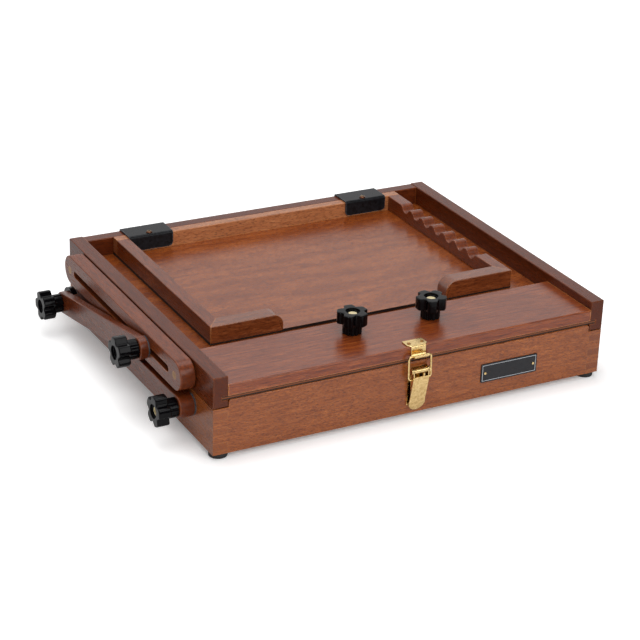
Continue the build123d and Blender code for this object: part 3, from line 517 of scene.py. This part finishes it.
def roundedEnd(end, reach, direction):
    # rows of (inset of the outline, depth) along a quarter round, from the end face inwards
    steps = 3
    rows = []
    for step in range(steps + 1 if reach else 1):
        angle = math.radians(90 * step / steps)
        rows.append((reach * (1 - math.sin(angle)), end + direction * reach * (1 - math.cos(angle))))
    return rows


toSpace = {"xz": lambda p, depth: (p.x, depth, p.y), "yz": lambda p, depth: (depth, p.x, p.y),
           "xy": lambda p, depth: (p.x, p.y, depth)}


def prism(corners, plane, low, high, ease, easeLow=None, cornerSteps=6):
    # an outline run along the third axis, with both ends rounded over
    outline = roundCorners(corners, cornerSteps)
    rows = roundedEnd(low, ease if easeLow is None else easeLow, 1) + roundedEnd(high, ease, -1)[::-1]
    points, faces, count = [], [], len(outline)
    for distance, depth in rows:
        points += [toSpace[plane](p, depth) for p in (inset(outline, distance) if distance else outline)]
    for row in range(len(rows) - 1):
        for i in range(count):
            j = (i + 1) % count
            faces.append((row * count + i, row * count + j, (row + 1) * count + j, (row + 1) * count + i))
    faces.append(tuple(range(count)))
    faces.append(tuple(range((len(rows) - 1) * count, len(rows) * count)))
    return points, faces


def turnedRows(rows, middle, direction, start, count, closed=False):
    # rows of (height, radius or radius at an angle) turned about an axis through middle
    axis = Vector(direction).normalized()
    side = Vector((0, 0, 1)) if abs(axis.z) < 0.5 else Vector((1, 0, 0))
    side = (side - axis * side.dot(axis)).normalized()
    other = axis.cross(side)
    points, faces = [], []
    for height, reach in rows:
        for i in range(count):
            angle = 2 * math.pi * i / count
            radius = reach(angle) if callable(reach) else reach
            spoke = side * math.cos(angle + start) + other * math.sin(angle + start)
            points.append(Vector(middle) + axis * height + spoke * radius)
    last = len(rows) if closed else len(rows) - 1
    for row in range(last):
        under, over = row * count, ((row + 1) % len(rows)) * count
        faces += [(under + i, under + (i + 1) % count, over + (i + 1) % count, over + i)
                  for i in range(count)]
    if not closed:
        faces += [tuple(range(count)), tuple(range(last * count, (last + 1) * count))]
    return points, faces


def bentLine(stops, steps):
    # stops are (place, bend radius), with straight runs between the bends
    line = [stops[0][0]]
    for (before, _), (here, radius), (after, _) in zip(stops, stops[1:], stops[2:]):
        back, ahead = (before - here).normalized(), (after - here).normalized()
        half = back.angle(ahead) / 2
        centre = here + (back + ahead).normalized() * (radius / math.sin(half))
        start, stop = here + back * (radius / math.tan(half)), here + ahead * (radius / math.tan(half))
        for step in range(steps + 1):
            spoke = (start - centre).lerp(stop - centre, step / steps)
            line.append(centre + spoke.normalized() * radius)
    return line + [stops[-1][0]]


def bentSheet(path, halfWidths, thickness, middle=0.0):
    # path is (y, z) along the middle of the sheet, with its half width at each point
    points = []
    for side in (1, -1):
        for i, (y, z) in enumerate(path):
            before, after = Vector(path[max(i - 1, 0)]), Vector(path[min(i + 1, len(path) - 1)])
            along = (after - before).normalized()
            normal = Vector((-along.y, along.x)) * (side * thickness / 2)
            for x in (-halfWidths[i], halfWidths[i]):
                points.append((middle + x, y + normal.x, z + normal.y))
    count = len(path)
    faces = []
    for i in range(count - 1):
        a, b = 2 * i, 2 * (i + 1)
        c, d = 2 * count + a, 2 * count + b
        faces += [(a, a + 1, b + 1, b), (c, d, d + 1, c + 1), (a, b, d, c), (a + 1, c + 1, d + 1, b + 1)]
    end, other = 2 * (count - 1), 2 * count
    faces += [(0, other, other + 1, 1), (end, end + 1, other + end + 1, other + end)]
    return points, faces


lid = {"halfWidth": 200, "halfDepth": 167.5, "foot": 44.4, "top": 73.9, "rail": 14, "backRail": 12.5,
       "backDrop": 0.7, "sheetLow": 51.5, "sheetHigh": 54.8, "groove": 6, "ease": 1.0, "endEase": 0.9,
       "footInner": 0.4, "footOuter": 0.6}
frontBoard = {"back": -93.5, "top": 65.8, "ease": 1.5, "footEase": 0.3}


def railOutline(inner, outer, top):
    # a rail's section, with the groove for the thin sheet in its inner face
    groove = inner + lid["groove"]
    return [(inner, lid["foot"], lid["footInner"]), (outer, lid["foot"], lid["footOuter"]),
            (outer, top, lid["ease"]), (inner, top, lid["ease"]), (inner, lid["sheetHigh"], 0),
            (groove, lid["sheetHigh"], 0), (groove, lid["sheetLow"], 0), (inner, lid["sheetLow"], 0)]


railInner = lid["halfWidth"] - lid["rail"]
rightRail = railOutline(railInner, lid["halfWidth"], lid["top"])
for name, outline in (("lid_left_rail", mirrored(rightRail)), ("lid_right_rail", rightRail)):
    meshObject(name + "_wood", prism(outline, "xz", -lid["halfDepth"], lid["halfDepth"], lid["endEase"]),
               railDeep, "lid", (name,))

backRail = railOutline(lid["halfDepth"] - lid["backRail"], lid["halfDepth"], lid["top"] - lid["backDrop"])
meshObject("lid_back_rail_wood", prism(backRail, "yz", -railInner, railInner, 0), railAcross, "lid",
           ("lid_back_rail",))

boardCorners = [(-lid["halfDepth"], lid["sheetHigh"], frontBoard["footEase"]),
                (frontBoard["back"], lid["sheetHigh"], 0),
                (frontBoard["back"], frontBoard["top"], frontBoard["ease"]),
                (-lid["halfDepth"], frontBoard["top"], frontBoard["ease"])]
meshObject("front_board_wood", prism(boardCorners, "yz", -railInner, railInner, 0), boardAcross, "lid",
           ("front_board",))
print("lid frame ready")

tray = {"half": 159, "inner": 146, "front": -72.5, "barFace": 144.6, "back": 154.8, "floorTop": 58.0,
        "top": 73.5, "ease": 0.9, "barEase": 0.6, "notches": 7, "pitch": 21.3, "depth": 6, "lastNotch": 108.9,
        "arcSteps": 7}
trayReturn = {"depth": 16, "low": 56.4, "lip": 0.35, "length": 60, "corner": 11, "footEase": 0.4,
              "cornerSteps": 10}


def trayOutline(start, end):
    # a bar's section, with its two top edges rounded
    return [(start, tray["floorTop"], 0), (end, tray["floorTop"], 0), (end, tray["top"], tray["ease"]),
            (start, tray["top"], tray["ease"])]


def mitred(pointsAndFaces, isReturn=False):
    # cuts the end of an arm, or the outer end of a return, along the slope of the corner joint
    points, faces = pointsAndFaces
    thick = tray["half"] - tray["inner"]
    slanted = []
    for x, y, z in points:
        beyond = tray["half"] - abs(x)
        if isReturn and beyond < 0.01:
            x -= math.copysign(thick * max(0.0, y - tray["front"]) / trayReturn["depth"], x)
        elif not isReturn and y < tray["front"] + thick / 10:
            y += trayReturn["depth"] * beyond / thick
        slanted.append((x, y, z))
    return slanted, faces


def waveOutline():
    # tangent arcs, valley and crest by turns, along the top of the arm
    half, steps = tray["pitch"] / 2, tray["arcSteps"]
    sweep = 2 * math.atan(tray["depth"] / half)
    radius = half / 2 / math.sin(sweep)
    first = tray["lastNotch"] - tray["pitch"] * (tray["notches"] - 1)
    top, low = tray["top"], tray["top"] - tray["depth"]
    outline = [(tray["barFace"], tray["floorTop"]), (tray["barFace"], top)]
    for notch in reversed(range(tray["notches"])):
        valley = first + notch * tray["pitch"]
        for step in range(steps):
            angle = sweep * step / steps
            outline.append((valley + half - radius * math.sin(angle), top - radius * (1 - math.cos(angle))))
        for step in range(2 * steps):
            angle = sweep * (1 - step / steps)
            outline.append((valley + radius * math.sin(angle), low + radius * (1 - math.cos(angle))))
        for step in range(steps):
            angle = sweep * (1 - step / steps)
            outline.append((valley - half + radius * math.sin(angle), top - radius * (1 - math.cos(angle))))
    outline += [(first - half, top), (tray["front"], top), (tray["front"], tray["floorTop"])]
    return [(y, z, 0) for y, z in outline]


def returnMesh(side):
    # a short bar with one large round corner at its free end
    outer, tip = tray["half"], tray["inner"] - trayReturn["length"]
    corners = [(tip, trayReturn["low"], trayReturn["footEase"]), (outer, trayReturn["low"], 0),
               (outer, tray["top"], 0), (tip, tray["top"], trayReturn["corner"])]
    return prism(corners if side > 0 else mirrored(corners), "xz", tray["front"] - trayReturn["lip"],
                 tray["front"] + trayReturn["depth"], tray["ease"], cornerSteps=trayReturn["cornerSteps"])


leftArm = prism(trayOutline(-tray["half"], -tray["inner"]), "xz", tray["front"], tray["barFace"], 0)
meshObject("tray_left_arm_wood", mitred(leftArm), trayDeep, "side_tray", ("tray_left_arm",))

notchedArm = prism(waveOutline(), "yz", tray["inner"], tray["half"], tray["ease"])
meshObject("tray_notched_arm_wood", mitred(notchedArm), trayDeep, "side_tray",
           ("tray_notched_arm",), 50.0)

rearBar = prism(trayOutline(tray["barFace"], tray["back"]), "yz", -tray["half"], tray["half"],
                tray["barEase"])
meshObject("tray_rear_bar_wood", rearBar, barAcross, "side_tray", ("tray_rear_bar",))

bothReturns = mitred(joined([returnMesh(-1), returnMesh(1)]), True)
meshObject("tray_returns_wood", bothReturns, returnAcross, "side_tray", ("tray_returns",))
print("side tray ready")

clip = {"width": 46.6, "middles": (-123.2, 118.2), "front": 143.0, "back": 169.4, "top": 75.1, "low": 60.5,
        "frontLow": 59.4, "thick": 1.6, "bend": 1.9, "bendSteps": 6, "corner": 4.5, "cornerSteps": 5,
        "ease": 0.42}
clipScrew = {"x": (-123.5, 116.8), "y": 148.1, "radius": 3.2, "height": 1.8, "edge": 0.15, "crossReach": 1.7,
             "crossWidth": 0.8, "crossDepth": 0.9, "firstTurn": 0.4, "sides": 64}


def clipMesh(middle):
    # a strip bent twice over the bars, with both its ends rounded
    half, corner, steps = clip["thick"] / 2, clip["corner"], clip["cornerSteps"]
    drops = [corner * (1 - math.cos(math.radians(90 * step / steps))) for step in range(steps + 1)]
    back, front, top = clip["back"] - half, clip["front"] + half, clip["top"] - half
    bends = bentLine([(Vector((back, clip["low"])), 0), (Vector((back, top)), clip["bend"]),
                      (Vector((front, top)), clip["bend"]), (Vector((front, clip["frontLow"])), 0)],
                     clip["bendSteps"])
    path = [Vector((back, clip["low"] + drop)) for drop in drops] + bends[1:-1]
    path += [Vector((front, clip["frontLow"] + drop)) for drop in reversed(drops)]
    widths = []
    for i in range(len(path)):
        nearEnd = min(i, len(path) - 1 - i)
        fromEnd = drops[nearEnd] if nearEnd < len(drops) else corner
        cornerWidth = math.sqrt(max(0.0, corner ** 2 - (corner - fromEnd) ** 2))
        widths.append(clip["width"] / 2 - (corner - cornerWidth))
    return bentSheet(path, widths, clip["thick"], middle)


clips = meshObject("tray_clip_plates", joined([clipMesh(middle) for middle in clip["middles"]]), steel,
                   "side_tray", ("tray_clips",), 30.0)
easeEdges(clips, clip["ease"])


def crossHead(look):
    # a domed screw head with a cross recess
    radius, height, edge, reach = look["radius"], look["height"], look["edge"], look["crossReach"]

    def cross(angle):
        off = abs((angle + math.pi / 4) % (math.pi / 2) - math.pi / 4)
        return min(reach, look["crossWidth"] / 2 / max(math.sin(off), 1e-3)) if off > 1e-3 else reach

    rows = [(0.0, radius * 0.98), (height * edge, radius)]
    for step in (20, 40, 60):
        angle = math.radians(step)
        rows.append((height * (edge + (1 - edge) * math.sin(angle)), radius * math.cos(angle) ** 0.75))
    return rows + [(height, reach * 1.15), (height, cross),
                   (height - look["crossDepth"], lambda angle: cross(angle) * 0.8)]


screwHeads = [turnedRows(crossHead(clipScrew), (x, clipScrew["y"], clip["top"]), (0, 0, 1),
                         clipScrew["firstTurn"] + n, clipScrew["sides"])
              for n, x in enumerate(clipScrew["x"])]
meshObject("clip_screw_heads", joined(screwHeads), bronze, "side_tray", ("clip_screws",))
print("clips ready")

knob = {"lobes": 5, "radius": 14.3, "core": 10.4, "valley": 21.5, "head": 11.6, "shank": 9.4,
        "shankRadius": 9, "flutes": 10, "fluteDepth": 1.0, "footEase": 0.5, "neck": 0.6, "underEase": 1.0,
        "ease": 1.1, "rimSlope": 0.4, "recess": 6.5, "recessDepth": 2.4, "recessEase": 0.3,
        "rimEase": 0.5, "insert": 3.9, "boltHole": 2.55, "sides": 200}
knobPlaces = {  # seat, axis, turn in degrees, and whether a brass insert is in the head
    "pivot_knob": ((-215.6, -123.5, 30.0), (-1, 0, 0), 12, True),
    "elbow_knob": ((-224.7, 128.46, 25.5), (-1, 0, 0), 40, False),
    "slot_knob": ((-224.7, -58.54, 59.15), (-1, 0, 0), 25, False),
    "left_board_knob": ((-40.7, -119.0, 66.1), (0, 0, 1), 8, True),
    "right_board_knob": ((40.7, -119.0, 66.1), (0, 0, 1), 30, True),
}


def starReach(angle, less=0.0):
    # blunt lobes with a rounded valley between each two
    step = 2 * math.pi / knob["lobes"]
    off = min(1.0, abs(angle % step - step / 2) / math.radians(knob["valley"]))
    return knob["radius"] - (knob["radius"] - knob["core"]) * (1 - off ** 2) ** 1.5 - less


def fluteReach(angle, less=0.0):
    return knob["shankRadius"] - less - knob["fluteDepth"] * max(0.0, math.cos(knob["flutes"] * angle)) ** 2


def knobRows(insert):
    # from the seat up the fluted shank, round the star and down into the recess of its head
    bore = knob["insert"] if insert else knob["boltHole"]
    low, high = knob["shank"], knob["shank"] + knob["head"]
    foot, under, ease = knob["footEase"], knob["underEase"], knob["ease"]
    rows = [(0.0, bore), (0.0, lambda angle: fluteReach(angle, foot)), (foot, fluteReach),
            (low - knob["neck"], fluteReach), (low, lambda angle: fluteReach(angle) + foot),
            (low, lambda angle: starReach(angle, under))]
    for step in (30, 60, 90):
        off, up = under * (1 - math.sin(math.radians(step))), under * (1 - math.cos(math.radians(step)))
        rows.append((low + up, lambda angle, off=off: starReach(angle, off)))
    for step in (0, 20, 40, 60, 80):
        off, up = ease * (1 - math.cos(math.radians(step))), ease * (1 - math.sin(math.radians(step)))
        rows.append((high - up, lambda angle, off=off: starReach(angle, off)))
    rows.append((high, lambda angle: starReach(angle, ease + knob["rimSlope"])))
    rim, edge, corner = knob["recess"], knob["rimEase"], knob["recessEase"]
    bottom = high - knob["recessDepth"]
    return rows + [(high, rim + edge), (high - edge * 0.3, rim + edge * 0.24), (high - edge, rim),
                   (bottom + corner, rim), (bottom, rim - corner), (bottom, bore + corner),
                   (bottom - corner, bore)]


for name, (seat, direction, turn, insert) in knobPlaces.items():
    # the CAD's angle starts on +Y for the side knobs and on +X for the board knobs
    start = math.radians(turn) + (-math.pi / 2 if direction[0] else 0.0)
    moulding = turnedRows(knobRows(insert), seat, direction, start, knob["sides"], closed=True)
    meshObject(name + "_moulding", moulding, plastic, name, (name,), 40.0)
print("knobs ready")

latch = {"plate": 1.0, "front": -167.5, "pin": (-173.0, 44.0), "hookY": -171.5}
keeper = {"half": 10.3, "tabHalf": 7.5, "depth": 12, "cut": 0.8, "cutMiddle": 0.25, "bend": 1.3,
          "hookZ": 59.8, "hookRadius": 3.5, "turn": 15, "ease": 0.22}
rivet = {"x": (-6.7, 6.7), "y": -162.0, "sides": 32,
         "rows": [(0.0, 1.7), (0.4, 1.68), (0.65, 1.4), (0.7, 1.15), (0.6, 0.95), (0.1, 0.8)]}
lever = {"half": 8.0, "top": 39.5, "topOut": 8.3, "footOut": 2.3, "end": 11.4, "endRadius": 8.4,
         "endSteps": 30, "corner": 0.8, "ease": 0.3, "ear": 2.6, "earSteps": 8, "flangeFoot": 22,
         "flangeGap": 0.3, "flangeEase": 0.2, "barrel": 2.35, "barrelInset": 1.1, "barrelEase": 0.3,
         "barrelSides": 32}
bail = {"foot": (-172.8, 36.0), "top": 58.0, "half": 11.4, "end": 6.8, "wire": 1.0, "bend": 2.6,
        "bendSteps": 8}


def keeperMesh():
    # a plate on the board that narrows to a tab, bends down over the edge and curls into a hook
    thick, wall = latch["plate"] / 2, latch["front"]
    half, bend, cut, middle = keeper["half"], keeper["bend"], keeper["cut"], keeper["cutMiddle"]
    z, back = frontBoard["top"] + thick, wall + keeper["depth"]
    shoulder = wall + half - keeper["tabHalf"]
    path = [(back, z), (back - middle, z), (back - cut, z), (shoulder, z)]
    widths = [half - cut, half - middle, half, half]
    for step in range(7):
        angle = math.radians(keeper["turn"] * step)
        y = wall - thick + bend - bend * math.sin(angle)
        path.append((y, z - bend + bend * math.cos(angle)))
        widths.append(max(keeper["tabHalf"], half - max(0.0, shoulder - y)))
    for step in range(13):
        angle = math.radians(-keeper["turn"] * step)
        path.append((latch["hookY"] + keeper["hookRadius"] * math.cos(angle),
                     keeper["hookZ"] + keeper["hookRadius"] * math.sin(angle)))
        widths.append(keeper["tabHalf"])
    return bentSheet(path, widths, latch["plate"])


keeperPlate = meshObject("latch_keeper_plate", keeperMesh(), brass, "lid",
                         ("latch_keeper",), 30.0)
easeEdges(keeperPlate, keeper["ease"])

rivetTop = frontBoard["top"] + latch["plate"]
rivetHeads = [turnedRows(rivet["rows"], (x, rivet["y"], rivetTop), (0, 0, 1), 0, rivet["sides"])
              for x in rivet["x"]]
meshObject("keeper_rivet_heads", joined(rivetHeads), agedBrass, "lid",
           ("keeper_rivets",), 60.0)

leverRise, leverOut = lever["top"] - lever["end"], lever["topOut"] - lever["footOut"]
leverLean = math.atan2(leverOut, leverRise)  # the lever stands further out at its top


def leverPlate():
    # a tongue with a round lower end
    half, end = lever["half"], lever["endRadius"]
    run, neck = math.hypot(leverRise, leverOut), math.asin(half / end)
    corners = [(half, run, lever["corner"]), (-half, run, lever["corner"])]
    for step in range(lever["endSteps"] + 1):
        angle = math.pi / 2 + neck + 2 * (math.pi - neck) * step / lever["endSteps"]
        corners.append((end * math.cos(angle), end * math.sin(angle), 0))
    points, faces = prism(corners, "xy", 0.0, latch["plate"], lever["ease"])
    up = Vector((0, -math.sin(leverLean), math.cos(leverLean)))
    out = Vector((0, -math.cos(leverLean), -math.sin(leverLean)))
    foot = Vector((0, latch["front"] - lever["footOut"], lever["end"]))
    return [foot + Vector((x, 0, 0)) + up * y + out * z for x, y, z in points], faces


def leverFlanges():
    # two ears that carry the pin and run down the sides of the plate
    (pinY, pinZ), (footY, footZ), ear = latch["pin"], bail["foot"], lever["ear"]

    def backOf(z):
        return latch["front"] - lever["footOut"] - (z - lever["end"]) * math.tan(leverLean)

    corners = []
    for step in range(lever["earSteps"] + 1):
        angle = math.radians(180 - 180 * step / lever["earSteps"])
        corners.append((pinY + ear * math.cos(angle), pinZ + ear * math.sin(angle), 0))
    corners += [(footY + ear, footZ, lever["corner"]), (backOf(lever["flangeFoot"]), lever["flangeFoot"], 0),
                (backOf(lever["top"]) - lever["flangeGap"], lever["top"], 0)]
    return [prism(corners[::-1], "yz", x, x + latch["plate"], lever["flangeEase"])
            for x in (-lever["half"], lever["half"] - latch["plate"])]


def leverBarrel():
    # the plate's top is rolled round the pin
    end, radius, ease = lever["half"] - lever["barrelInset"], lever["barrel"], lever["barrelEase"]
    rows = [(-end, radius - ease), (-end + ease, radius), (end - ease, radius), (end, radius - ease)]
    return turnedRows(rows, (0, *latch["pin"]), (1, 0, 0), 0, lever["barrelSides"])


meshObject("latch_lever_plate", joined([leverPlate(), *leverFlanges(), leverBarrel()]), brass, "latch_lever",
           ("latch_lever",), 40.0)


def wireObject(name, line, radius, material, body, stands):
    curve = bpy.data.curves.new(name, "CURVE")
    curve.dimensions, curve.bevel_depth, curve.bevel_resolution = "3D", radius * mm, 5
    curve.use_fill_caps = True
    spline = curve.splines.new("POLY")
    spline.points.add(len(line) - 1)
    for point, here in zip(spline.points, line):
        point.co = (*(here * mm), 1)
    spline.use_smooth = True
    finishPiece(bpy.data.objects.new(name, curve), material, body, stands)


# the wire runs out of one side of the lever, up over the hook and back into the other side
bailFoot, bailHead = bail["foot"], (latch["hookY"], bail["top"])
bailStops = [(-bail["end"], *bailFoot), (-bail["half"], *bailFoot), (-bail["half"], *bailHead),
             (bail["half"], *bailHead), (bail["half"], *bailFoot), (bail["end"], *bailFoot)]
bailLine = bentLine([(Vector(stop), bail["bend"]) for stop in bailStops], bail["bendSteps"])
wireObject("latch_bail_wire", bailLine, bail["wire"], brass, "latch_bail", ("latch_bail",))
print("latch ready")

plateSides = [namePlate["x"] + side * namePlate["width"] / 2 for side in (-1, 1)]
plateEnds = [namePlate["z"] + side * namePlate["height"] / 2 for side in (-1, 1)]
plateCorners = [(plateSides[i], plateEnds[j], namePlate["corner"])
                for i, j in ((0, 0), (1, 0), (1, 1), (0, 1))]
enamel = prism(plateCorners, "xz", latch["front"] - namePlate["thick"], latch["front"], 0, namePlate["ease"])
meshObject("name_plate_enamel", enamel, plateFinish, "box", ("name_plate",))

# finishes of the CAD nodes that stay; their order sets where in the wood each board is cut
cadFinishes = {
    "front_wall": wallAcross, "back_wall": wallAcross, "left_wall": leftWallDeep, "right_wall": wallDeep,
    "slotted_bar": slotDeep, "lower_arm": armDeep, "upper_arm": armDeep,
    "lid_sheet": sheetWood, "tray_floor": trayWood, "palette": sheetWood, "bottom_panel": sheetWood,
    "long_divider": paleAcross, "cross_dividers": paleDeep, "palette_cleats": paleDeep,
    "canvas_clamp": paleAcross, "elbow_disc": plastic, "slot_washer": steel, "pivot_washer": steel,
    "latch_base": brass, "latch_base_screws": brass, "lever_pivot_pin": brass, "name_plate_pins": brass,
    "bar_fixing_pins": agedBrass, "pivot_knob_insert": paleBrass, "left_board_stud": paleBrass,
    "right_board_stud": paleBrass, "clamp_inserts": agedBrass, "box_hinge_leaves": agedBrass,
    "lid_hinge_leaves": agedBrass, "hinge_pins": agedBrass, "box_hinge_screws": agedBrass,
    "lid_hinge_screws": agedBrass, "pivot_stud": zinc, "elbow_bolt": zinc, "slot_bolt": zinc,
    "foot_screws": zinc, "tripod_plate": zinc, "tripod_screws": zinc, "rubber_feet": rubber,
}
for number, (name, finish) in enumerate(cadFinishes.items(), 1):
    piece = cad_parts[name]
    piece.pass_index = number
    if not piece.material_slots:
        piece.data.materials.append(finish)
    for slotEntry in piece.material_slots:
        slotEntry.material = finish
print("finishes on", len(cadFinishes), "CAD nodes and", len(redrawn), "redrawn pieces")

# floor, surroundings, lamps and camera, in metres
floorLook = {"level": -0.0052, "reach": 6.0, "roughness": 0.9, "shine": 0.1, "paperScale": 30,
             "dark": "f4f4f4", "light": "f8f8f8", "footprint": (0.19, 0.16), "mirrored": 0.25,
             "glowNear": 0.15, "glowMiddle": 0.62, "near": 0.06, "farStart": 0.15, "farEnd": 0.8}


def floorMaterial():
    # its glow lifts the floor to white away from the box and leaves the shadow beside it; close to the box
    # the glow is weaker, which paints a darker band there as shadow on top of the real shadow
    look = floorLook
    material, tree = newMaterial("paleFloor")
    rays = node(tree, "LightPath").outputs
    seen = maths(tree, "MAXIMUM", rays["Is Camera Ray"], times(tree, rays["Is Glossy Ray"], look["mirrored"]))
    paper = noise(tree, objectPlace(tree, look["paperScale"]))
    spot = axes(tree, node(tree, "NewGeometry").outputs["Position"])
    squares = []
    for axis, half in enumerate(look["footprint"]):
        beyond = maths(tree, "MAXIMUM", minus(tree, maths(tree, "ABSOLUTE", spot[axis]), half), 0.0)
        squares.append(times(tree, beyond, beyond))
    away = maths(tree, "SQRT", plus(tree, *squares))
    # weaker glow within a few centimetres of the footprint: a painted shadow band round the box
    near = remap(tree, away, 0.0, look["near"], look["glowNear"], look["glowMiddle"])
    far = remap(tree, away, look["farStart"], look["farEnd"], 0.0, 1.0 - look["glowMiddle"])
    shader = node(tree, "BsdfPrincipled", {
        "Base Color": mix(tree, paper, colour(look["dark"]), colour(look["light"])),
        "Roughness": look["roughness"], "Specular IOR Level": look["shine"],
        "Emission Color": (1, 1, 1, 1), "Emission Strength": times(tree, seen, plus(tree, near, far))})
    node(tree, "OutputMaterial", {"Surface": shader.outputs[0]})
    return material


floorMesh = bpy.data.meshes.new("floor")
floorMesh.from_pydata([(x * floorLook["reach"], y * floorLook["reach"], floorLook["level"])
                       for x, y in ((-1, -1), (1, -1), (1, 1), (-1, 1))], [], [(0, 1, 2, 3)])
floor = bpy.data.objects.new("floor", floorMesh)
bpy.context.scene.collection.objects.link(floor)
floor.data.materials.append(floorMaterial())

room = {"low": 0.05, "high": 0.22, "highAt": 0.8, "frontShine": 0.06, "frontAt": -0.35, "backAt": 0.25}


def dressWorld():
    # a weak light that grows upwards; what shines mirrors a dark room in front and white behind
    world = bpy.data.worlds.new("studio")
    bpy.context.scene.world = world
    world.use_nodes = True
    tree = world.node_tree
    tree.nodes.clear()
    rays = node(tree, "LightPath").outputs
    shining = maths(tree, "MAXIMUM", rays["Is Glossy Ray"], rays["Is Transmission Ray"])
    direction = axes(tree, node(tree, "TexCoord").outputs["Generated"])
    lit = remap(tree, direction[2], 0.0, room["highAt"], room["low"], room["high"])
    shine = remap(tree, direction[1], room["frontAt"], room["backAt"], room["frontShine"], 1.0)
    level = mixNumber(tree, rays["Is Camera Ray"], mixNumber(tree, shining, lit, shine), 1.0)
    background = node(tree, "Background", {"Color": (1, 1, 1, 1), "Strength": level})
    node(tree, "OutputWorld", {"Surface": background.outputs[0]})


dressWorld()

lamps = {
    "overheadSoftbox": {"place": (-0.1, 0.1, 1.5), "width": 1.5, "height": 1.2, "power": 12.0},
    "frontSoftbox": {"place": (0.1, -1.6, 1.0), "width": 1.9, "height": 1.2, "power": 19.0},
    "stripLight": {"place": (-1.3, -0.9, 0.8), "width": 0.02, "height": 0.7, "power": 2.2},
}
for name, lamp in lamps.items():
    light = bpy.data.lights.new(name, "AREA")
    light.shape, light.energy = "RECTANGLE", lamp["power"]
    light.size, light.size_y = lamp["width"], lamp["height"]
    holder = bpy.data.objects.new(name, light)
    bpy.context.scene.collection.objects.link(holder)
    holder.location = lamp["place"]
    holder.rotation_mode = "QUATERNION"
    holder.rotation_quaternion = (-Vector(lamp["place"])).to_track_quat("-Z", "Y")  # aimed at the origin

view = {"place": (-0.81896, -1.48639, 0.80843), "azimuth": -28.59, "elevation": 24.94, "roll": 2.02,
        "lens": 109.03, "sensor": 36.0, "near": 0.05}
cameraData = bpy.data.cameras.new("camera")
cameraData.lens, cameraData.sensor_width, cameraData.clip_start = view["lens"], view["sensor"], view["near"]
camera = bpy.data.objects.new("camera", cameraData)
bpy.context.scene.collection.objects.link(camera)
bpy.context.scene.camera = camera
azimuth, elevation = math.radians(view["azimuth"]), math.radians(view["elevation"])
ahead = Vector((-math.sin(azimuth) * math.cos(elevation), math.cos(azimuth) * math.cos(elevation),
                -math.sin(elevation)))
camera.location = view["place"]
camera.rotation_mode = "QUATERNION"
roll = Quaternion((0, 0, 1), math.radians(view["roll"]))
camera.rotation_quaternion = ahead.to_track_quat("-Z", "Y") @ roll
bpy.context.scene.view_settings.view_transform = "Standard"
print("studio ready")
